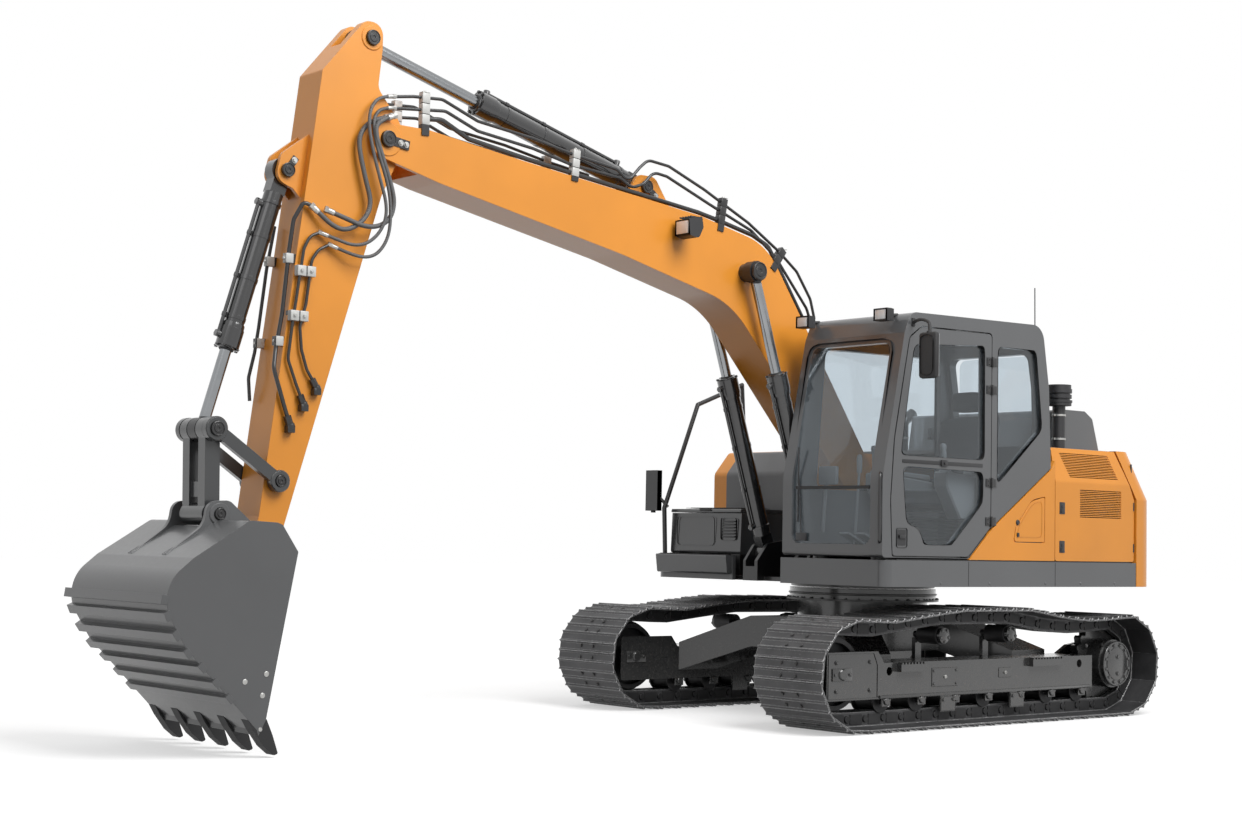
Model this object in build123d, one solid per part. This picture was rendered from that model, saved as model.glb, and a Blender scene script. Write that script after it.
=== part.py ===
"""Crawler excavator of the 13-tonne class, in millimetres.

+X points forward along the boom, +Y to the operator's left, where the cab stands, +Z up.
The origin is on the ground under the slewing centre.
"""
from build123d import *
import math
import os

# Undercarriage
TRACK_GAUGE = 1990
SHOE_WIDTH = 600
TUMBLER_X = 1420
PIN_CIRCLE_R = 291
LINK_PITCH = 171
RAIL_HEIGHT_OUT = 48
RAIL_HEIGHT_IN = 45
RAIL_INNER_Y = 45
RAIL_OUTER_Y = 85
SHOE_PLATE = 10
GROUSER_HEIGHT = 16
FRAME_HALF_WIDTH = 145
FRAME_PLATE = 12
DRIVE_PLATE = 30
FRAME_TOP_Z = 430
FRAME_BOTTOM_Z = 200
ROLLER_R = 62
ROLLER_FLANGE_R = 78
ROLLER_COUNT = 7
CARRIER_R = 60
RUNNING_GAP = 1
HUB_COVER_R = 160
SLEW_RING_R = 525
SLEW_RING_BOTTOM_Z = 790
SLEW_RING_TOP_Z = 875
SLEW_GAP = 10

# Upper structure
DECK_BOTTOM_Z = 920
DECK_PLATE = 30
SKIRT_TOP_Z = 1092
HOUSE_HALF_WIDTH = 1245
SKIRT_PLATE = 30
HOUSE_FRONT_X = -615
TAIL_FRONT_ROOM = 173
HOUSE_TOP_Z = 1900
CAB_FRONT_X = 1165
RIGHT_FRONT_X = 900
TAIL_RADIUS = 2130
TAIL_CORNER = 110
TAIL_SHOULDER_Z = 1550
TAIL_LEAN = 185
DOOR_GAP = 8
PANEL = 30
TAIL_SEAM_X = -math.sqrt(TAIL_RADIUS ** 2 - HOUSE_HALF_WIDTH ** 2) + TAIL_FRONT_ROOM
RAIL_WIDTH = 100
SEAT_Z = 1100

# Cab
CAB_LEFT_Y = 1232
CAB_RIGHT_Y = 335
CAB_BOTTOM_Z = 1108
CAB_REAR_X = -600
CAB_WALL = 55
GLASS = 6

# Boom, arm and bucket pins in side view
BOOM_FOOT = (120, 1495)
BOOM_TIP = (4293, 3500)
BOOM_CYL_FOOT = (738, 1112)
BOOM_CYL_ROD = (1381, 3011)
ARM_CYL_FOOT = (2214, 3501)
ARM_CYL_ROD = (4395, 4089)
BUCKET_CYL_FOOT = (4906, 3245)
ARM_LINK_PIN = (4947, 1477)
LINK_TOP_PIN = (5352, 1750)
BUCKET_LINK_PIN = (5340, 1285)
BUCKET_PIN = (5015, 1095)

# Attachment widths
BOOM_HALF_WIDTH = 160
BOOM_PLATE = 12
ARM_HALF_WIDTH = 125
ARM_PLATE = 10
SIDE_CLEARANCE = 8
OPEN_PIVOT_GAP = 5
BOOM_CYL_Y = 245
BUCKET_HALF_WIDTH = 562
BUCKET_PLATE = 16
EAR_PLATE = 28
TOOTH_SPACING = 262
TOOTH_HALF_WIDTH = 38
TOOTH_COUNT = 5

# Hydraulic cylinders: barrel radius, head radius, rod radius, then from the foot pin
# the barrel's open end and the rod's inner end
BOOM_CYL = (62, 74, 36, 1283, 790)
ARM_CYL = (68, 80, 40, 1378, 780)
BUCKET_CYL = (56, 68, 33, 1075, 415)


def outline(rows, lift):
    """Face with corners (a, b, corner radius); lift places a plane point in space."""
    points = [Vector(a, b, 0) for a, b, _ in rows]
    starts = []
    ends = []
    mids = []
    for index, (_, _, radius) in enumerate(rows):
        here = points[index]
        to_last = (points[index - 1] - here).normalized()
        to_next = (points[(index + 1) % len(rows)] - here).normalized()
        if radius == 0:
            starts.append(here)
            ends.append(here)
            mids.append(None)
            continue
        half = math.radians(to_last.get_angle(to_next)) / 2
        bisector = (to_last + to_next).normalized()
        tangent = radius / math.tan(half)
        starts.append(here + to_last * tangent)
        ends.append(here + to_next * tangent)
        mids.append(here + bisector * (radius / math.sin(half) - radius))
    edges = []
    for index in range(len(rows)):
        if mids[index] is not None:
            edges.append(ThreePointArc(lift(starts[index]), lift(mids[index]), lift(ends[index])))
        begin = ends[index]
        finish = starts[(index + 1) % len(rows)]
        if (finish - begin).length > 0.001:
            edges.append(Line(lift(begin), lift(finish)))
    return Face(Wire(edges))


def side_prism(rows, y_low, y_high):
    """Rows (x, z, corner radius) extruded across the machine."""
    face = outline(rows, lambda p: Vector(p.X, y_low, p.Y))
    return extrude(face, amount=y_high - y_low, dir=(0, 1, 0))


def plan_prism(rows, z_low, z_high):
    """Rows (x, y, corner radius) extruded upwards."""
    face = outline(rows, lambda p: Vector(p.X, p.Y, z_low))
    return extrude(face, amount=z_high - z_low, dir=(0, 0, 1))


def front_prism(rows, x_low, x_high):
    """Rows (y, z, corner radius) extruded forwards."""
    face = outline(rows, lambda p: Vector(x_low, p.X, p.Y))
    return extrude(face, amount=x_high - x_low, dir=(1, 0, 0))


def block(x_low, x_high, y_low, y_high, z_low, z_high):
    """Box between six planes."""
    size = (x_high - x_low, y_high - y_low, z_high - z_low)
    centre = ((x_low + x_high) / 2, (y_low + y_high) / 2, (z_low + z_high) / 2)
    return Pos(*centre) * Box(*size)


def tube_between(start, end, radius):
    """Solid round bar from one point of space to another."""
    start = Vector(*start)
    end = Vector(*end)
    plane = Plane(origin=start, z_dir=end - start)
    return plane * extrude(Circle(radius), amount=(end - start).length)


def cross_pin(pin, radius, y_low, y_high):
    """Round bar across the machine at a pin (x, z)."""
    return tube_between((pin[0], y_low, pin[1]), (pin[0], y_high, pin[1]), radius)


def bend_radii(points, largest):
    """Bend radius at each corner: what the shorter run beside it allows, up to the largest."""
    radii = []
    for before, corner, after in zip(points, points[1:], points[2:]):
        back = Vector(*before) - Vector(*corner)
        ahead = Vector(*after) - Vector(*corner)
        half_turn = math.radians(180 - back.get_angle(ahead)) / 2
        radii.append(min(largest, 0.45 * min(back.length, ahead.length) / math.tan(half_turn)))
    return radii


def pipe(points, radius, largest):
    """Round tube along points, with corners bent to a radius of up to the largest."""
    line = FilletPolyline(*points, radius=bend_radii(points, largest))
    return sweep(Plane(origin=line @ 0, z_dir=line % 0) * Circle(radius), path=line)


def mirrored(solid):
    """The same form on the other side of the machine."""
    return mirror(solid, about=Plane.XZ)


def both_sides(solid):
    """The solid and its mirror image."""
    return solid + mirrored(solid)


def between(first, second, share):
    """Point on the line of two pins, at a share of its length."""
    return tuple(a + (b - a) * share for a, b in zip(first, second))


def distance(first, second):
    """Distance of two side-view points."""
    return math.hypot(second[0] - first[0], second[1] - first[1])


def side_bar(start, end, y_low, y_high, width):
    """Flat bar between two side-view points."""
    length = distance(start, end)
    along = ((end[0] - start[0]) / length, (end[1] - start[1]) / length)
    normal = (-along[1] * width / 2, along[0] * width / 2)
    rows = [
        (start[0] + normal[0], start[1] + normal[1], 0),
        (end[0] + normal[0], end[1] + normal[1], 0),
        (end[0] - normal[0], end[1] - normal[1], 0),
        (start[0] - normal[0], start[1] - normal[1], 0),
    ]
    return side_prism(rows, y_low, y_high)


nodes = {}

# Track loop: link pins on a path round idler, carrier rollers and sprocket
PITCH_BOTTOM_Z = RAIL_HEIGHT_OUT + SHOE_PLATE + GROUSER_HEIGHT
AXLE_Z = PITCH_BOTTOM_Z + PIN_CIRCLE_R
TRACK_Y = TRACK_GAUGE / 2
CARRIER_X = (398, -308)
CARRIER_LIFT = 55
# Top run of the pitch line: x, height above the tangent of the two tumblers
TOP_RUN = [
    (1100, -16),
    (640, 34),
    (CARRIER_X[0], CARRIER_LIFT),
    (CARRIER_X[1], CARRIER_LIFT - 4),
    (-640, 0),
    (-900, -26),
    (-1240, -20),
]
ARC_STEPS = 24


def pitch_path():
    """Closed side-view path of the link pins, from the idler's top backwards."""
    top_z = AXLE_Z + PIN_CIRCLE_R
    path = [(TUMBLER_X, top_z)]
    path += [(x, top_z + rise) for x, rise in TOP_RUN]
    for step in range(ARC_STEPS + 1):
        angle = math.pi / 2 + math.pi * step / ARC_STEPS
        path.append((-TUMBLER_X + PIN_CIRCLE_R * math.cos(angle), AXLE_Z + PIN_CIRCLE_R * math.sin(angle)))
    for step in range(ARC_STEPS):
        angle = -math.pi / 2 + math.pi * step / ARC_STEPS
        path.append((TUMBLER_X + PIN_CIRCLE_R * math.cos(angle), AXLE_Z + PIN_CIRCLE_R * math.sin(angle)))
    return path


def link_pins():
    """Link pins at equal steps along the pitch path."""
    path = pitch_path()
    closed = path + [path[0]]
    lengths = [distance(closed[i], closed[i + 1]) for i in range(len(path))]
    total = sum(lengths)
    count = round(total / LINK_PITCH)
    pins = []
    for index in range(count):
        rest = total * index / count
        span = 0
        while rest > lengths[span]:
            rest -= lengths[span]
            span += 1
        pins.append(between(closed[span], closed[span + 1], rest / lengths[span]))
    return pins


# One shoe in side view: share of the pitch, height above the shoe plate
GROUSERS = [
    (0.04, 0),
    (0.10, GROUSER_HEIGHT),
    (0.17, 0),
    (0.43, 0),
    (0.50, GROUSER_HEIGHT - 3),
    (0.57, 0),
    (0.83, 0),
    (0.90, GROUSER_HEIGHT),
    (0.96, 0),
]


def link_directions(pins):
    """Unit vectors along and out of each link; the pins run anticlockwise seen from the right."""
    result = []
    for index, pin in enumerate(pins):
        following = pins[(index + 1) % len(pins)]
        along = (Vector(*following) - Vector(*pin)).normalized()
        result.append((along, Vector(along.Y, -along.X)))
    return result


def shoe_loop(pins, profile):
    """Closed outline that repeats profile rows (share of the pitch, height) on every link."""
    rows = []
    for index, (along, outward) in enumerate(link_directions(pins)):
        length = distance(pins[index], pins[(index + 1) % len(pins)])
        for share, height in profile:
            point = Vector(*pins[index]) + along * (share * length) + outward * height
            rows.append((point.X, point.Y, 0))
    return rows


def pin_loop(pins, height):
    """Closed outline with one corner at each pin, a height outside the pitch line."""
    directions = link_directions(pins)
    rows = []
    for index, pin in enumerate(pins):
        outward = (directions[index - 1][1] + directions[index][1]).normalized()
        point = Vector(*pin) + outward * height
        rows.append((point.X, point.Y, 0))
    return rows


def track():
    """One track: shoes with three ribs on two link rails."""
    pins = link_pins()
    shoe_base = RAIL_HEIGHT_OUT + SHOE_PLATE
    shoes = [(share, shoe_base + height) for share, height in GROUSERS]
    outer = side_prism(shoe_loop(pins, shoes), -SHOE_WIDTH / 2, SHOE_WIDTH / 2)
    band = outer - side_prism(pin_loop(pins, RAIL_HEIGHT_OUT), -SHOE_WIDTH, SHOE_WIDTH)
    rail_out = pin_loop(pins, RAIL_HEIGHT_OUT + SHOE_PLATE / 4)
    rail_in = pin_loop(pins, -RAIL_HEIGHT_IN)
    rail = side_prism(rail_out, RAIL_INNER_Y, RAIL_OUTER_Y) - side_prism(rail_in, 0, SHOE_WIDTH)
    return band + rail + mirrored(rail)


track_form = track()
nodes["track_left"] = Pos(0, TRACK_Y, 0) * track_form
nodes["track_right"] = Pos(0, -TRACK_Y, 0) * track_form

# Track frame: a channel open below for the rollers, guard plates beside the idler
ROLLER_Z = PITCH_BOTTOM_Z + RAIL_HEIGHT_IN + RUNNING_GAP + ROLLER_R
ROLLER_HALF = RAIL_OUTER_Y + 12
ROLLER_FIRST_X = 1000
ROLLER_LAST_X = -1060
TIE_HOLE_R = 28
FRAME_FRONT_X = 1083
GUARD_FRONT_X = 1556
GUARD_TOP_Z = 506
FRAME_REAR_X = -1180
# Roller guards: middle x
GUARD_X = (395, -330)
GUARD_HALF = 75
GUARD_BOTTOM_Z = 95
BRACKET_BOTTOM_Z = 150
# Steps on the outer side: rear x, front x
FRAME_STEPS = [(660, 905), (-800, -455)]
STEP_DEPTH = 42


def roller_places():
    """The x of each bottom roller, front to rear."""
    step = (ROLLER_LAST_X - ROLLER_FIRST_X) / (ROLLER_COUNT - 1)
    return [ROLLER_FIRST_X + step * index for index in range(ROLLER_COUNT)]


def track_frame():
    """Frame about the track's own middle plane, with roller guards and outer steps."""
    beam = block(FRAME_REAR_X, FRAME_FRONT_X, -FRAME_HALF_WIDTH, FRAME_HALF_WIDTH, FRAME_BOTTOM_Z, FRAME_TOP_Z)
    inner = FRAME_HALF_WIDTH - FRAME_PLATE
    beam -= block(-2 * TUMBLER_X, 2 * TUMBLER_X, -inner, inner, 0, FRAME_TOP_Z - FRAME_PLATE)
    guard_rows = [
        (FRAME_FRONT_X - 60, FRAME_BOTTOM_Z, 0),
        (GUARD_FRONT_X, FRAME_BOTTOM_Z, 20),
        (GUARD_FRONT_X, GUARD_TOP_Z, 20),
        (FRAME_FRONT_X, GUARD_TOP_Z, 0),
        (FRAME_FRONT_X - 60, FRAME_TOP_Z, 0),
    ]
    guard = side_prism(guard_rows, inner, FRAME_HALF_WIDTH)
    drive_rows = [
        (FRAME_REAR_X + 60, FRAME_BOTTOM_Z, 0),
        (FRAME_REAR_X + 60, FRAME_TOP_Z, 0),
        (FRAME_REAR_X - 60, FRAME_TOP_Z + 60, 0),
        (-TUMBLER_X, AXLE_Z + 150, 60),
        (-TUMBLER_X - 150, AXLE_Z, 80),
        (-TUMBLER_X, AXLE_Z - 150, 60),
    ]
    drive = side_prism(drive_rows, -FRAME_HALF_WIDTH, -FRAME_HALF_WIDTH + DRIVE_PLATE)
    beam -= cross_pin((-TUMBLER_X, AXLE_Z), SPROCKET_TIP_R + 14, -RAIL_INNER_Y, RAIL_INNER_Y)
    frame = beam + guard + mirrored(guard) + drive
    for x in GUARD_X:
        frame += both_sides(block(x - GUARD_HALF, x + GUARD_HALF, inner, FRAME_HALF_WIDTH, GUARD_BOTTOM_Z, FRAME_BOTTOM_Z))
    for x in roller_places():
        frame += both_sides(block(x - 38, x + 38, inner, FRAME_HALF_WIDTH, BRACKET_BOTTOM_Z, FRAME_BOTTOM_Z))
    for x_rear, x_front in FRAME_STEPS:
        step = block(x_rear, x_front, FRAME_HALF_WIDTH, FRAME_HALF_WIDTH + STEP_DEPTH, FRAME_TOP_Z - 60, FRAME_TOP_Z - 12)
        teeth = int((x_front - x_rear) / 30)
        for tooth in range(teeth):
            x = x_rear + (tooth + 0.25) * (x_front - x_rear) / teeth
            step += block(x, x + 14, FRAME_HALF_WIDTH, FRAME_HALF_WIDTH + STEP_DEPTH, FRAME_TOP_Z - 12, FRAME_TOP_Z)
        frame += step
    for x in (FRAME_REAR_X + 150, FRAME_FRONT_X - 110):
        frame -= cross_pin((x, FRAME_TOP_Z - 55), TIE_HOLE_R, 0, FRAME_HALF_WIDTH + STEP_DEPTH + 5)
    for x in CARRIER_X:
        post = block(x - 30, x + 30, -FRAME_HALF_WIDTH, -FRAME_HALF_WIDTH + DRIVE_PLATE,
                     FRAME_TOP_Z, CARRIER_Z - CARRIER_SHAFT_R)
        frame += post
    return frame


SPROCKET_TEETH = 21
SPROCKET_TIP_R = 286
SPROCKET_ROOT_R = 256
CARRIER_SHAFT_R = 22
CARRIER_Z = AXLE_Z + PIN_CIRCLE_R + CARRIER_LIFT - RAIL_HEIGHT_IN - CARRIER_R - 14
frame_form = track_frame()
nodes["track_frame_left"] = Pos(0, TRACK_Y, 0) * frame_form
nodes["track_frame_right"] = Pos(0, -TRACK_Y, 0) * mirrored(frame_form)

# Idlers and rollers
IDLER_R = 230
IDLER_HALF = RAIL_OUTER_Y
rolling = []
idler = cross_pin((TUMBLER_X, AXLE_Z), IDLER_R, -IDLER_HALF, IDLER_HALF)
idler -= cross_pin((TUMBLER_X, AXLE_Z), IDLER_R - 30, IDLER_HALF - 50, IDLER_HALF + 5)
idler -= cross_pin((TUMBLER_X, AXLE_Z), IDLER_R - 30, -IDLER_HALF - 5, -IDLER_HALF + 50)
idler += cross_pin((TUMBLER_X, AXLE_Z), IDLER_R + 18, -RAIL_INNER_Y + 4, RAIL_INNER_Y - 4)
idler += cross_pin((TUMBLER_X, AXLE_Z), 60, -FRAME_HALF_WIDTH + FRAME_PLATE, FRAME_HALF_WIDTH - FRAME_PLATE)
rolling.append(idler)
for x in roller_places():
    roller = cross_pin((x, ROLLER_Z), ROLLER_R, -ROLLER_HALF, ROLLER_HALF)
    roller += both_sides(cross_pin((x, ROLLER_Z), ROLLER_FLANGE_R, RAIL_OUTER_Y + 2, ROLLER_HALF))
    roller += cross_pin((x, ROLLER_Z), 24, -FRAME_HALF_WIDTH + FRAME_PLATE, FRAME_HALF_WIDTH - FRAME_PLATE)
    rolling.append(roller)
for x in CARRIER_X:
    carrier = cross_pin((x, CARRIER_Z), CARRIER_R, -RAIL_OUTER_Y, RAIL_OUTER_Y)
    carrier += cross_pin((x, CARRIER_Z), CARRIER_SHAFT_R, -FRAME_HALF_WIDTH, RAIL_OUTER_Y + 25)
    rolling.append(carrier)
left_set = [Pos(0, TRACK_Y, 0) * solid for solid in rolling]
right_set = [Pos(0, -TRACK_Y, 0) * mirrored(solid) for solid in rolling]
nodes["idlers_and_rollers"] = Compound(left_set + right_set)

# Sprockets with their final drives and hub covers


def sprocket():
    """Toothed wheel between the rails, hub drum to the outer side."""
    rows = []
    for tooth in range(SPROCKET_TEETH):
        for share, radius in ((0.0, SPROCKET_ROOT_R), (0.3, SPROCKET_TIP_R), (0.55, SPROCKET_TIP_R), (0.85, SPROCKET_ROOT_R)):
            angle = 2 * math.pi * (tooth + share) / SPROCKET_TEETH
            rows.append((-TUMBLER_X + radius * math.cos(angle), AXLE_Z + radius * math.sin(angle), 0))
    wheel = side_prism(rows, -RAIL_INNER_Y + 15, RAIL_INNER_Y - 15)
    drum = cross_pin((-TUMBLER_X, AXLE_Z), HUB_COVER_R + 12, -FRAME_HALF_WIDTH + DRIVE_PLATE, 150)
    cover = cross_pin((-TUMBLER_X, AXLE_Z), HUB_COVER_R, 150, 185)
    return wheel + drum + cover


sprocket_form = sprocket()
nodes["sprockets"] = Compound([Pos(0, TRACK_Y, 0) * sprocket_form, Pos(0, -TRACK_Y, 0) * mirrored(sprocket_form)])

# Car body: centre box, four legs and the lower slewing ring
BODY_BOTTOM_Z = 445
BODY_TOP_Z = 665
LEG_INNER_Y = 420
LEG_OUTER_Y = TRACK_Y - FRAME_HALF_WIDTH
body_rows = [(560, -430, 120), (560, 430, 120), (-560, 430, 120), (-560, -430, 120)]
carbody = plan_prism(body_rows, BODY_BOTTOM_Z, BODY_TOP_Z)
leg_rows = [(300, 380, 0), (560, 200, 0), (1010, LEG_OUTER_Y, 0), (640, LEG_OUTER_Y, 0)]
for forward in (1, -1):
    for side in (1, -1):
        rows = [(x * forward, y * side, r) for x, y, r in leg_rows]
        leg = plan_prism(rows, FRAME_BOTTOM_Z, BODY_TOP_Z)
        profile = [
            (0, BODY_BOTTOM_Z, 0),
            (LEG_INNER_Y * side, BODY_BOTTOM_Z, 0),
            (LEG_OUTER_Y * side, FRAME_BOTTOM_Z + 60, 0),
            (LEG_OUTER_Y * side, FRAME_TOP_Z + 30, 0),
            (LEG_INNER_Y * side, BODY_TOP_Z, 0),
            (0, BODY_TOP_Z, 0),
        ]
        carbody += leg & front_prism(profile, -2 * TUMBLER_X, 2 * TUMBLER_X)
post = Pos(0, 0, (BODY_TOP_Z + SLEW_RING_BOTTOM_Z) / 2) * Cylinder(SLEW_RING_R - 60, SLEW_RING_BOTTOM_Z - BODY_TOP_Z)
ring = Pos(0, 0, (SLEW_RING_BOTTOM_Z + SLEW_RING_TOP_Z) / 2) * Cylinder(SLEW_RING_R, SLEW_RING_TOP_Z - SLEW_RING_BOTTOM_Z)
carbody += post + ring
nodes["carbody"] = carbody

# Upper frame: deck plate, centre plates that carry the boom, front cylinder brackets
CENTRE_INNER_Y = BOOM_HALF_WIDTH + SIDE_CLEARANCE
CENTRE_OUTER_Y = CENTRE_INNER_Y + 30
BRACKET_INNER_Y = BOOM_CYL_Y + 42
BRACKET_OUTER_Y = BRACKET_INNER_Y + 25
DECK_TOP_Z = DECK_BOTTOM_Z + DECK_PLATE
CENTRE_REAR_Z = 1080
TAIL_FRONT_X = TAIL_SEAM_X - DOOR_GAP
# Engine: x, y and z limits of the block
ENGINE_BOX = (-1480, -900, -750, 400, 1110, 1700)
deck_rows = [
    (830, -1180, 60),
    (830, CAB_RIGHT_Y - 15, 0),
    (1110, CAB_RIGHT_Y - 15, 30),
    (1105, 1195, 90),
    (-1540, 1195, 0),
    (-1540, -1180, 0),
]
upper = plan_prism(deck_rows, DECK_BOTTOM_Z, DECK_TOP_Z)
upper += Pos(0, 0, DECK_BOTTOM_Z - (DECK_BOTTOM_Z - SLEW_RING_TOP_Z - SLEW_GAP) / 2) * Cylinder(
    SLEW_RING_R - 10, DECK_BOTTOM_Z - SLEW_RING_TOP_Z - SLEW_GAP)
centre_rows = [
    (900, DECK_BOTTOM_Z, 0),
    (900, 1060, 0),
    (BOOM_CYL_FOOT[0] + 60, BOOM_CYL_FOOT[1] + 70, 60),
    (BOOM_FOOT[0] + 330, BOOM_CYL_FOOT[1] + 120, 80),
    (BOOM_FOOT[0] + 110, BOOM_FOOT[1] + 110, 105),
    (BOOM_FOOT[0] - 110, BOOM_FOOT[1] + 110, 105),
    (-560, 1180, 60),
    (-800, CENTRE_REAR_Z, 60),
    (-1540, CENTRE_REAR_Z, 0),
    (-1540, DECK_BOTTOM_Z, 0),
]
centre = side_prism(centre_rows, CENTRE_INNER_Y, CENTRE_OUTER_Y)
bracket_rows = [
    (900, DECK_BOTTOM_Z, 0),
    (900, 1060, 0),
    (BOOM_CYL_FOOT[0] + 65, BOOM_CYL_FOOT[1] + 75, 60),
    (BOOM_CYL_FOOT[0] - 65, BOOM_CYL_FOOT[1] + 75, 60),
    (560, DECK_BOTTOM_Z, 0),
]
bracket = side_prism(bracket_rows, BRACKET_INNER_Y, BRACKET_OUTER_Y)
base = block(820, 900, CENTRE_INNER_Y, BRACKET_OUTER_Y, DECK_BOTTOM_Z, 1020)
pins = cross_pin(BOOM_CYL_FOOT, 35, CENTRE_INNER_Y, BRACKET_OUTER_Y)
upper += both_sides(centre + bracket + base + pins)
upper += block(TAIL_FRONT_X, -1500, -1180, 1180, DECK_BOTTOM_Z, 1090)
skirt_inner_y = HOUSE_HALF_WIDTH - SKIRT_PLATE
upper += block(-1540, 790, -skirt_inner_y, -skirt_inner_y + RAIL_WIDTH, DECK_TOP_Z, SEAT_Z)
upper += block(-1540, 1000, skirt_inner_y - RAIL_WIDTH, skirt_inner_y, DECK_TOP_Z, SEAT_Z)
upper += block(-600, 790, -560, -560 + RAIL_WIDTH, DECK_TOP_Z, SEAT_Z)
for x in (ENGINE_BOX[0] + 60, ENGINE_BOX[1] - 160):
    upper += block(x, x + RAIL_WIDTH, -700, 380, CENTRE_REAR_Z, ENGINE_BOX[4])
for x in (CAB_REAR_X + 160, CAB_FRONT_X - 260):
    for y in (CAB_RIGHT_Y + 120, CAB_LEFT_Y - 250):
        upper += Pos(x, y, (DECK_TOP_Z + CAB_BOTTOM_Z) / 2) * Cylinder(60, CAB_BOTTOM_Z - DECK_TOP_Z)
upper += cross_pin(BOOM_FOOT, 40, -CENTRE_OUTER_Y - 12, CENTRE_OUTER_Y + 12)
nodes["upper_frame"] = upper

# Skirts: left side with the front return under the cab, and the right side
left_rows = [
    (TAIL_SEAM_X, HOUSE_HALF_WIDTH, 0),
    (CAB_FRONT_X - 20, HOUSE_HALF_WIDTH, 70),
    (CAB_FRONT_X, CAB_RIGHT_Y - 10, 0),
    (CAB_FRONT_X - SKIRT_PLATE, CAB_RIGHT_Y - 10, 0),
    (CAB_FRONT_X - 20 - SKIRT_PLATE, HOUSE_HALF_WIDTH - SKIRT_PLATE, 40),
    (TAIL_SEAM_X, HOUSE_HALF_WIDTH - SKIRT_PLATE, 0),
]
right_rows = [
    (TAIL_SEAM_X, -HOUSE_HALF_WIDTH, 0),
    (RIGHT_FRONT_X, -HOUSE_HALF_WIDTH, 90),
    (RIGHT_FRONT_X, -420, 0),
    (RIGHT_FRONT_X - SKIRT_PLATE, -420, 0),
    (RIGHT_FRONT_X - SKIRT_PLATE, -HOUSE_HALF_WIDTH + SKIRT_PLATE, 60),
    (TAIL_SEAM_X, -HOUSE_HALF_WIDTH + SKIRT_PLATE, 0),
]
nodes["side_skirts"] = Compound([
    plan_prism(left_rows, DECK_BOTTOM_Z, SKIRT_TOP_Z),
    plan_prism(right_rows, DECK_BOTTOM_Z, SKIRT_TOP_Z),
])

# Counterweight: straight lower part, shoulder that leans forward
def tail_outline(front_x, radius, half_width, corner, z):
    """Plan of the tail at one height: flat front, arc about the slewing centre behind."""
    corner_x = -math.sqrt(radius ** 2 - half_width ** 2)
    start = Vector(front_x, half_width, z)
    shoulder = Vector(corner_x + corner, half_width, z)
    angle = math.asin(half_width / radius) - corner / radius
    rim = Vector(-radius * math.cos(angle), radius * math.sin(angle), z)
    middle = Vector(-radius, 0, z)
    blend = (shoulder + rim) * 0.5 + Vector(-0.18 * corner, 0.18 * corner, 0)
    edges = [
        Line(start, shoulder),
        ThreePointArc(shoulder, blend, rim),
        ThreePointArc(rim, middle, Vector(rim.X, -rim.Y, z)),
        ThreePointArc(Vector(rim.X, -rim.Y, z), Vector(blend.X, -blend.Y, z), Vector(shoulder.X, -shoulder.Y, z)),
        Line(Vector(shoulder.X, -shoulder.Y, z), Vector(front_x, -half_width, z)),
        Line(Vector(front_x, -half_width, z), start),
    ]
    return Face(Wire(edges))


TOP_HALF_WIDTH = HOUSE_HALF_WIDTH - 55
lower_face = tail_outline(TAIL_FRONT_X, TAIL_RADIUS, HOUSE_HALF_WIDTH, TAIL_CORNER, DECK_BOTTOM_Z)
shoulder_face = tail_outline(TAIL_FRONT_X, TAIL_RADIUS, HOUSE_HALF_WIDTH, TAIL_CORNER, TAIL_SHOULDER_Z)
top_face = tail_outline(TAIL_FRONT_X + TAIL_LEAN, TAIL_RADIUS - TAIL_LEAN, TOP_HALF_WIDTH, TAIL_CORNER - 10, HOUSE_TOP_Z)
counterweight = extrude(lower_face, amount=TAIL_SHOULDER_Z - DECK_BOTTOM_Z, dir=(0, 0, 1))
counterweight += loft([shoulder_face, top_face])
for y in (-500, 500):
    lug = Pos(-TAIL_RADIUS + TAIL_LEAN + 260, y, HOUSE_TOP_Z + 20) * Box(110, 30, 60)
    counterweight += lug - cross_pin((-TAIL_RADIUS + TAIL_LEAN + 260, HOUSE_TOP_Z + 24), 17, y - 20, y + 20)
nodes["counterweight"] = counterweight

# Engine as one plain block behind the bulkhead
nodes["engine_block"] = block(*ENGINE_BOX)

# House panels: top deck with the hood opening, bulkhead, left cab-side panel and right tank cover
DECK_SIDE_Y = TOP_HALF_WIDTH - 45
HOOD_X = (-1438, -955)
HOOD_Y = (-420, 1000)
HOOD_TOP_Z = HOUSE_TOP_Z + 290
HOOD_SEAT = 5
top_rows = [
    (DECK_SIDE_Y, HOUSE_TOP_Z - PANEL, 0),
    (DECK_SIDE_Y, HOUSE_TOP_Z, 12),
    (-DECK_SIDE_Y, HOUSE_TOP_Z, 12),
    (-DECK_SIDE_Y, HOUSE_TOP_Z - PANEL, 0),
]
top_deck = front_prism(top_rows, TAIL_FRONT_X + TAIL_LEAN + DOOR_GAP, HOUSE_FRONT_X)
top_deck -= block(HOOD_X[0] + 90, HOOD_X[1] - 45, HOOD_Y[0] + 40, HOOD_Y[1] - 40, HOUSE_TOP_Z - 200, HOUSE_TOP_Z + 50)
DOOR_LEAN_Z = 1655
DOOR_TOP_Z = HOUSE_TOP_Z - 6
DOOR_OUTER_Y = HOUSE_HALF_WIDTH - 12
wall_rows = [
    (CENTRE_OUTER_Y + 5, SEAT_Z, 0),
    (DOOR_OUTER_Y - PANEL - 10, SEAT_Z, 0),
    (DOOR_OUTER_Y - PANEL - 10, DOOR_LEAN_Z - 40, 0),
    (TOP_HALF_WIDTH - PANEL - 40, HOUSE_TOP_Z - PANEL, 0),
    (CENTRE_OUTER_Y + 5, HOUSE_TOP_Z - PANEL, 0),
]
nodes["house_panels"] = top_deck + both_sides(front_prism(wall_rows, HOUSE_FRONT_X - PANEL, HOUSE_FRONT_X))

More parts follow.
